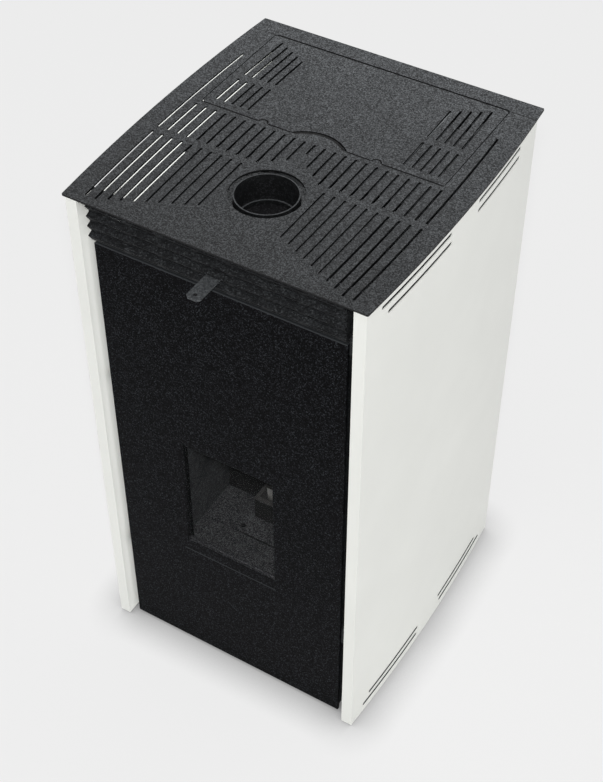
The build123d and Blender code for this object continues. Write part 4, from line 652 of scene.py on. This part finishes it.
def turned_rings(form, rings):
    """Faces between closed rings of points, and a cap over the first and the last."""
    loops = [[form.verts.new(point) for point in ring] for ring in rings]
    turns = len(loops[0])
    for low, high in zip(loops, loops[1:]):
        for i in range(turns):
            j = (i + 1) % turns
            form.faces.new((low[i], low[j], high[j], high[i]))
    form.faces.new(loops[-1])
    form.faces.new(list(reversed(loops[0])))


def screw_head(name, radius_mm, height_mm, socket_mm, finish):
    """Button-head screw with a hexagon socket; its seat is on z = 0, and it looks along +Z."""
    angles = [2 * math.pi * i / HEAD_FACETS for i in range(HEAD_FACETS)]
    sixth = math.pi / 3
    hexagon = [socket_mm / math.cos((a % sixth) - sixth / 2) for a in angles]
    outlines = [([radius_mm * share] * HEAD_FACETS, height) for share, height in HEAD_PROFILE]
    outlines += [(hexagon, height) for height in SOCKET_PROFILE]
    rings = [
        [
            (reach * math.cos(a) * MM, reach * math.sin(a) * MM, height_mm * height * MM)
            for reach, a in zip(reaches, angles)
        ]
        for reaches, height in outlines
    ]
    form = bmesh.new()
    turned_rings(form, rings)
    return mesh_object(name, form, finish)


def fastener_tree():
    """Node group: one small piece on every point, turned about its own axis by chance."""
    tree = bpy.data.node_groups.new("fasteners", "GeometryNodeTree")
    for name, way, kind in (
        ("Geometry", "INPUT", "Geometry"),
        ("Piece", "INPUT", "Object"),
        ("Facing", "INPUT", "Vector"),
        ("Seed", "INPUT", "Int"),
        ("Finish", "INPUT", "Material"),
        ("Geometry", "OUTPUT", "Geometry"),
    ):
        tree.interface.new_socket(name, in_out=way, socket_type="NodeSocket" + kind)
    given = add(tree, "NodeGroupInput").outputs
    piece = add(tree, "GeometryNodeObjectInfo", links={"Object": given["Piece"]})
    chance = add(
        tree,
        "FunctionNodeRandomValue",
        {"Max": 2 * math.pi},
        {"Seed": given["Seed"]},
        data_type="FLOAT",
    )
    spin = add(
        tree,
        "FunctionNodeAxisAngleToRotation",
        {"Axis": (0.0, 0.0, 1.0)},
        {"Angle": next(output for output in chance.outputs if output.type == "VALUE")},
    )
    aim = add(tree, "FunctionNodeEulerToRotation", links={"Euler": given["Facing"]})
    turn = add(
        tree,
        "FunctionNodeRotateRotation",
        links={"Rotation": aim.outputs[0], "Rotate By": spin.outputs[0]},
        rotation_space="LOCAL",
    )
    copies = add(
        tree,
        "GeometryNodeInstanceOnPoints",
        links={
            "Points": given["Geometry"],
            "Instance": piece.outputs["Geometry"],
            "Rotation": turn.outputs[0],
        },
    )
    real = add(tree, "GeometryNodeRealizeInstances", links={"Geometry": copies.outputs[0]})
    done = add(
        tree,
        "GeometryNodeSetMaterial",
        links={"Geometry": real.outputs[0], "Material": given["Finish"]},
    )
    add(tree, "NodeGroupOutput", links={"Geometry": done.outputs[0]})
    return tree


FASTENERS = fastener_tree()


def fasten(name, pattern, places_mm, aim, seed, body):
    """Zinc-plated copies of a pattern at these places, made real and riding on a body."""
    mesh = bpy.data.meshes.new(name + "_places")
    mesh.from_pydata([tuple(c * MM for c in place) for place in places_mm], [], [])
    carrier = into_scene(name + "_places", mesh)
    modifier = carrier.modifiers.new("fasteners", "NODES")
    modifier.node_group = FASTENERS
    values = {"Piece": pattern, "Facing": aim, "Seed": seed, "Finish": zinc}
    for item in FASTENERS.interface.items_tree:
        if item.in_out == "INPUT" and item.name in values:
            modifier[item.identifier] = values[item.name]
    carrier.update_tag()
    ready = carrier.evaluated_get(bpy.context.evaluated_depsgraph_get())
    piece = into_scene(name, bpy.data.meshes.new_from_object(ready))
    bpy.data.objects.remove(carrier)
    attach(piece, body)


def bevelled_block(form, low, high, bevel_mm):
    """A block of a bmesh between two corners in mm, with rounded edges."""
    made = bmesh.ops.create_cube(form, size=1.0)["verts"]
    size = [(b - a) * MM for a, b in zip(low, high)]
    middle = [(a + b) / 2 * MM for a, b in zip(low, high)]
    for vertex in made:
        vertex.co = Vector(c * s + m for c, s, m in zip(vertex.co, size, middle))
    edges = list({edge for vertex in made for edge in vertex.link_edges})
    bmesh.ops.bevel(form, geom=edges, offset=bevel_mm * MM, segments=3, affect="EDGES")


def screws():
    """Screws of the rear panel, the pane's retainer, the mains inlet and the hinge brackets."""
    panel_screw = screw_head("panel_screw_pattern", 4.2, 2.4, 1.5, zinc)
    small_screw = screw_head("small_screw_pattern", 2.3, 1.3, 0.9, zinc)
    retainer_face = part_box("window_retainer")[1][1] / MM
    inlet_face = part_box("power_inlet")[1][1] / MM

    # along both upright flanges, and lower down where the sockets and the bends leave room
    panel = [(x, REAR_FACE, z) for x in (-242, 242) for z in (300, 440, 600, 760, 930)]
    panel += [(-242, REAR_FACE, z) for z in (40, 170)]
    panel += [(242, REAR_FACE, z) for z in (30, 196)]
    retainer = [(x, retainer_face, z) for x in (-94, 94) for z in (330, 420, 510)]
    retainer += [(x, retainer_face, z) for x in (-50, 50) for z in (294, 546)]
    inlet = [(206, inlet_face, z) for z in (62.5, 117.5)]
    brackets = [(231, -244, z) for z in (228.3, 927.8)]
    fasten("rear_panel_screws", panel_screw, panel, REARWARDS, 3, "stove")
    fasten("pane_retainer_screws", small_screw, retainer, REARWARDS, 5, "door")
    fasten("inlet_screws", small_screw, inlet, REARWARDS, 7, "stove")
    fasten("hinge_screws", small_screw, brackets, FORWARDS, 9, "stove")
    for pattern in (panel_screw, small_screw):
        bpy.data.objects.remove(pattern)


def socket_pins():
    """Three plated blades on the floor of the mains inlet's recess."""
    foot, tip, half_width, half_height = 254.5, 266.0, 1.0, 2.0
    form = bmesh.new()
    for x, z in ((199.0, 92.0), (206.0, 88.0), (213.0, 92.0)):
        low = (x - half_width, foot, z - half_height)
        high = (x + half_width, tip, z + half_height)
        bevelled_block(form, low, high, 0.4)
    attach(mesh_object("socket_pins", form, zinc), "stove")


def hopper_guard():
    """Finger guard in the mouth of the hopper: a welded grid of 3 mm wire."""
    wire_radius, sunk = 1.5, 0.4            # the wires are welded this far into each other
    left, right, near, far, low = -127.8, 127.8, 55.2, 221.8, 930.0
    high = low + 2 * wire_radius - sunk
    wires = [((left, y, low), (right, y, low)) for y in (77, 105, 133, 161, 189, 210)]
    wires += [((x, near, high), (x, far, high)) for x in (-110, -66, -22, 22, 66, 110)]
    curve = bpy.data.curves.new("hopper_guard", "CURVE")
    curve.dimensions = "3D"
    curve.bevel_depth = wire_radius * MM
    curve.bevel_resolution = 3
    curve.use_fill_caps = True
    for ends in wires:
        spline = curve.splines.new("POLY")
        spline.points.add(1)
        for point, place in zip(spline.points, ends):
            point.co = (*(c * MM for c in place), 1.0)
    curve.materials.append(zinc)
    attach(into_scene("hopper_guard", curve), "stove")


screws()
socket_pins()
hopper_guard()


# ---------------------------------------------------------------- floor, light, camera
PALE = "#eeeeee"
FLOOR_HALF = 8.0
CAMERA_PLACE = (0.96999, -1.63066, 2.37692)
LAMP_OVER_CAMERA = (0.0, 0.0, 0.10)

# hidden strips of light that look to the left, each with its x, y, z, depth, height and power:
# two on the side panel's inner face under the slots of the plate, and one on the return of the
# left front flange, beside the door
STRIPS = {
    "inner_panel_high_lamp": (-0.243, 0.0, 0.955, 0.438, 0.06, 0.115),
    "inner_panel_low_lamp": (-0.243, 0.0595, 0.880, 0.381, 0.09, 0.15),
    "flange_return_lamp": (-0.2205, -0.260, 0.4875, 0.030, 0.965, 0.0375),
}


def seen_directly(tree):
    """1 for the rays of the camera and for what shows in gloss or through glass."""
    ray = add(tree, "ShaderNodeLightPath").outputs
    mirrored = maths(tree, "MAXIMUM", ray["Is Glossy Ray"], ray["Is Transmission Ray"])
    return maths(tree, "MAXIMUM", ray["Is Camera Ray"], mirrored)


def lit_or_seen(tree, lit, seen):
    """One shader for the light it gives the object, another for what is seen of it."""
    links = {0: seen_directly(tree), 1: lit.outputs[0], 2: seen.outputs[0]}
    return add(tree, "ShaderNodeMixShader", links=links).outputs[0]


def studio_floor():
    """Pale floor with a soft contact shadow."""
    material = bpy.data.materials.new("studio_floor")
    material.use_nodes = True
    tree = material.node_tree
    tree.nodes.clear()
    reach = {"Color": rgb(PALE), "Distance": 0.075}
    contact = add(tree, "ShaderNodeAmbientOcclusion", reach, samples=16)
    even = add(tree, "ShaderNodeEmission", links={"Color": contact.outputs["Color"]})
    shaded = add(tree, "ShaderNodeBsdfDiffuse", {"Color": rgb(PALE)})
    bounce = add(tree, "ShaderNodeBsdfDiffuse", {"Color": rgb("#e2e2e2")})
    sides = {1: shaded.outputs[0], 2: even.outputs[0]}
    shown = add(tree, "ShaderNodeMixShader", {"Fac": 0.85}, sides)
    surface = lit_or_seen(tree, bounce, shown)
    add(tree, "ShaderNodeOutputMaterial", links={"Surface": surface})
    mesh = bpy.data.meshes.new("studio_floor")
    corners = [(x * FLOOR_HALF, y * FLOOR_HALF, 0) for x, y in ((-1, -1), (1, -1), (1, 1), (-1, 1))]
    mesh.from_pydata(corners, [], [(0, 1, 2, 3)])
    mesh.materials.append(material)
    into_scene("studio_floor", mesh)


def studio_world():
    """Even light all round, and a pale backdrop."""
    world = bpy.data.worlds.new("studio_world")
    world.use_nodes = True
    tree = world.node_tree
    light = tree.nodes["Background"]
    light.inputs["Color"].default_value = (1.0, 1.0, 1.0, 1.0)
    light.inputs["Strength"].default_value = 0.56
    backdrop = add(tree, "ShaderNodeBackground", {"Color": rgb(PALE), "Strength": 1.0})
    surface = lit_or_seen(tree, light, backdrop)
    tree.links.new(surface, tree.nodes["World Output"].inputs["Surface"])
    bpy.context.scene.world = world


def studio_lamps():
    """A lamp by the camera, a faint one from the right, and hidden strips on the left."""
    # just over the camera, and as bright on the foot of the stove as on its top
    lamp = bpy.data.lights.new("camera_side_lamp", "POINT")
    lamp.shadow_soft_size = 0.05
    lamp.energy = 23.4
    lamp.use_nodes = True
    tree = lamp.node_tree
    falloff = add(tree, "ShaderNodeLightFalloff", {"Strength": 1.0})
    tree.links.new(falloff.outputs["Constant"], tree.nodes["Emission"].inputs["Strength"])
    lamp_object = into_scene("camera_side_lamp", lamp)
    lamp_object.location = Vector(CAMERA_PLACE) + Vector(LAMP_OVER_CAMERA)

    # low from the right, on the right-hand panel
    fill = bpy.data.lights.new("right_side_lamp", "SUN")
    fill.angle = math.radians(10.0)
    fill.energy = 0.055 * math.pi
    fill_object = into_scene("right_side_lamp", fill)
    fill_object.rotation_euler = (math.radians(84), 0.0, math.radians(80))

    leftward = Matrix.Rotation(math.radians(90), 4, "Y") @ Matrix.Rotation(math.radians(90), 4, "Z")
    for name, (x, y, z, depth, height, power) in STRIPS.items():
        strip = bpy.data.lights.new(name, "AREA")
        strip.shape = "RECTANGLE"
        strip.size = depth
        strip.size_y = height
        strip.energy = power
        strip_object = into_scene(name, strip)
        strip_object.matrix_world = Matrix.Translation((x, y, z)) @ leftward
        strip_object.visible_camera = False


def photo_camera():
    """Camera at the view of the photograph: three-quarters from the right, well above."""
    azimuth = math.radians(31.19)
    elevation = math.radians(44.92)
    roll = math.radians(-0.10)
    camera = bpy.data.cameras.new("photo_camera")
    camera.sensor_width = 36.0
    camera.lens = 70.50
    camera_object = into_scene("photo_camera", camera)
    turn = (
        Matrix.Rotation(azimuth, 4, "Z")
        @ Matrix.Rotation(math.pi / 2 - elevation, 4, "X")
        @ Matrix.Rotation(roll, 4, "Z")
    )
    camera_object.matrix_world = Matrix.Translation(CAMERA_PLACE) @ turn
    bpy.context.scene.camera = camera_object


studio_floor()
studio_world()
studio_lamps()
photo_camera()
bpy.context.scene.view_settings.view_transform = "Standard"
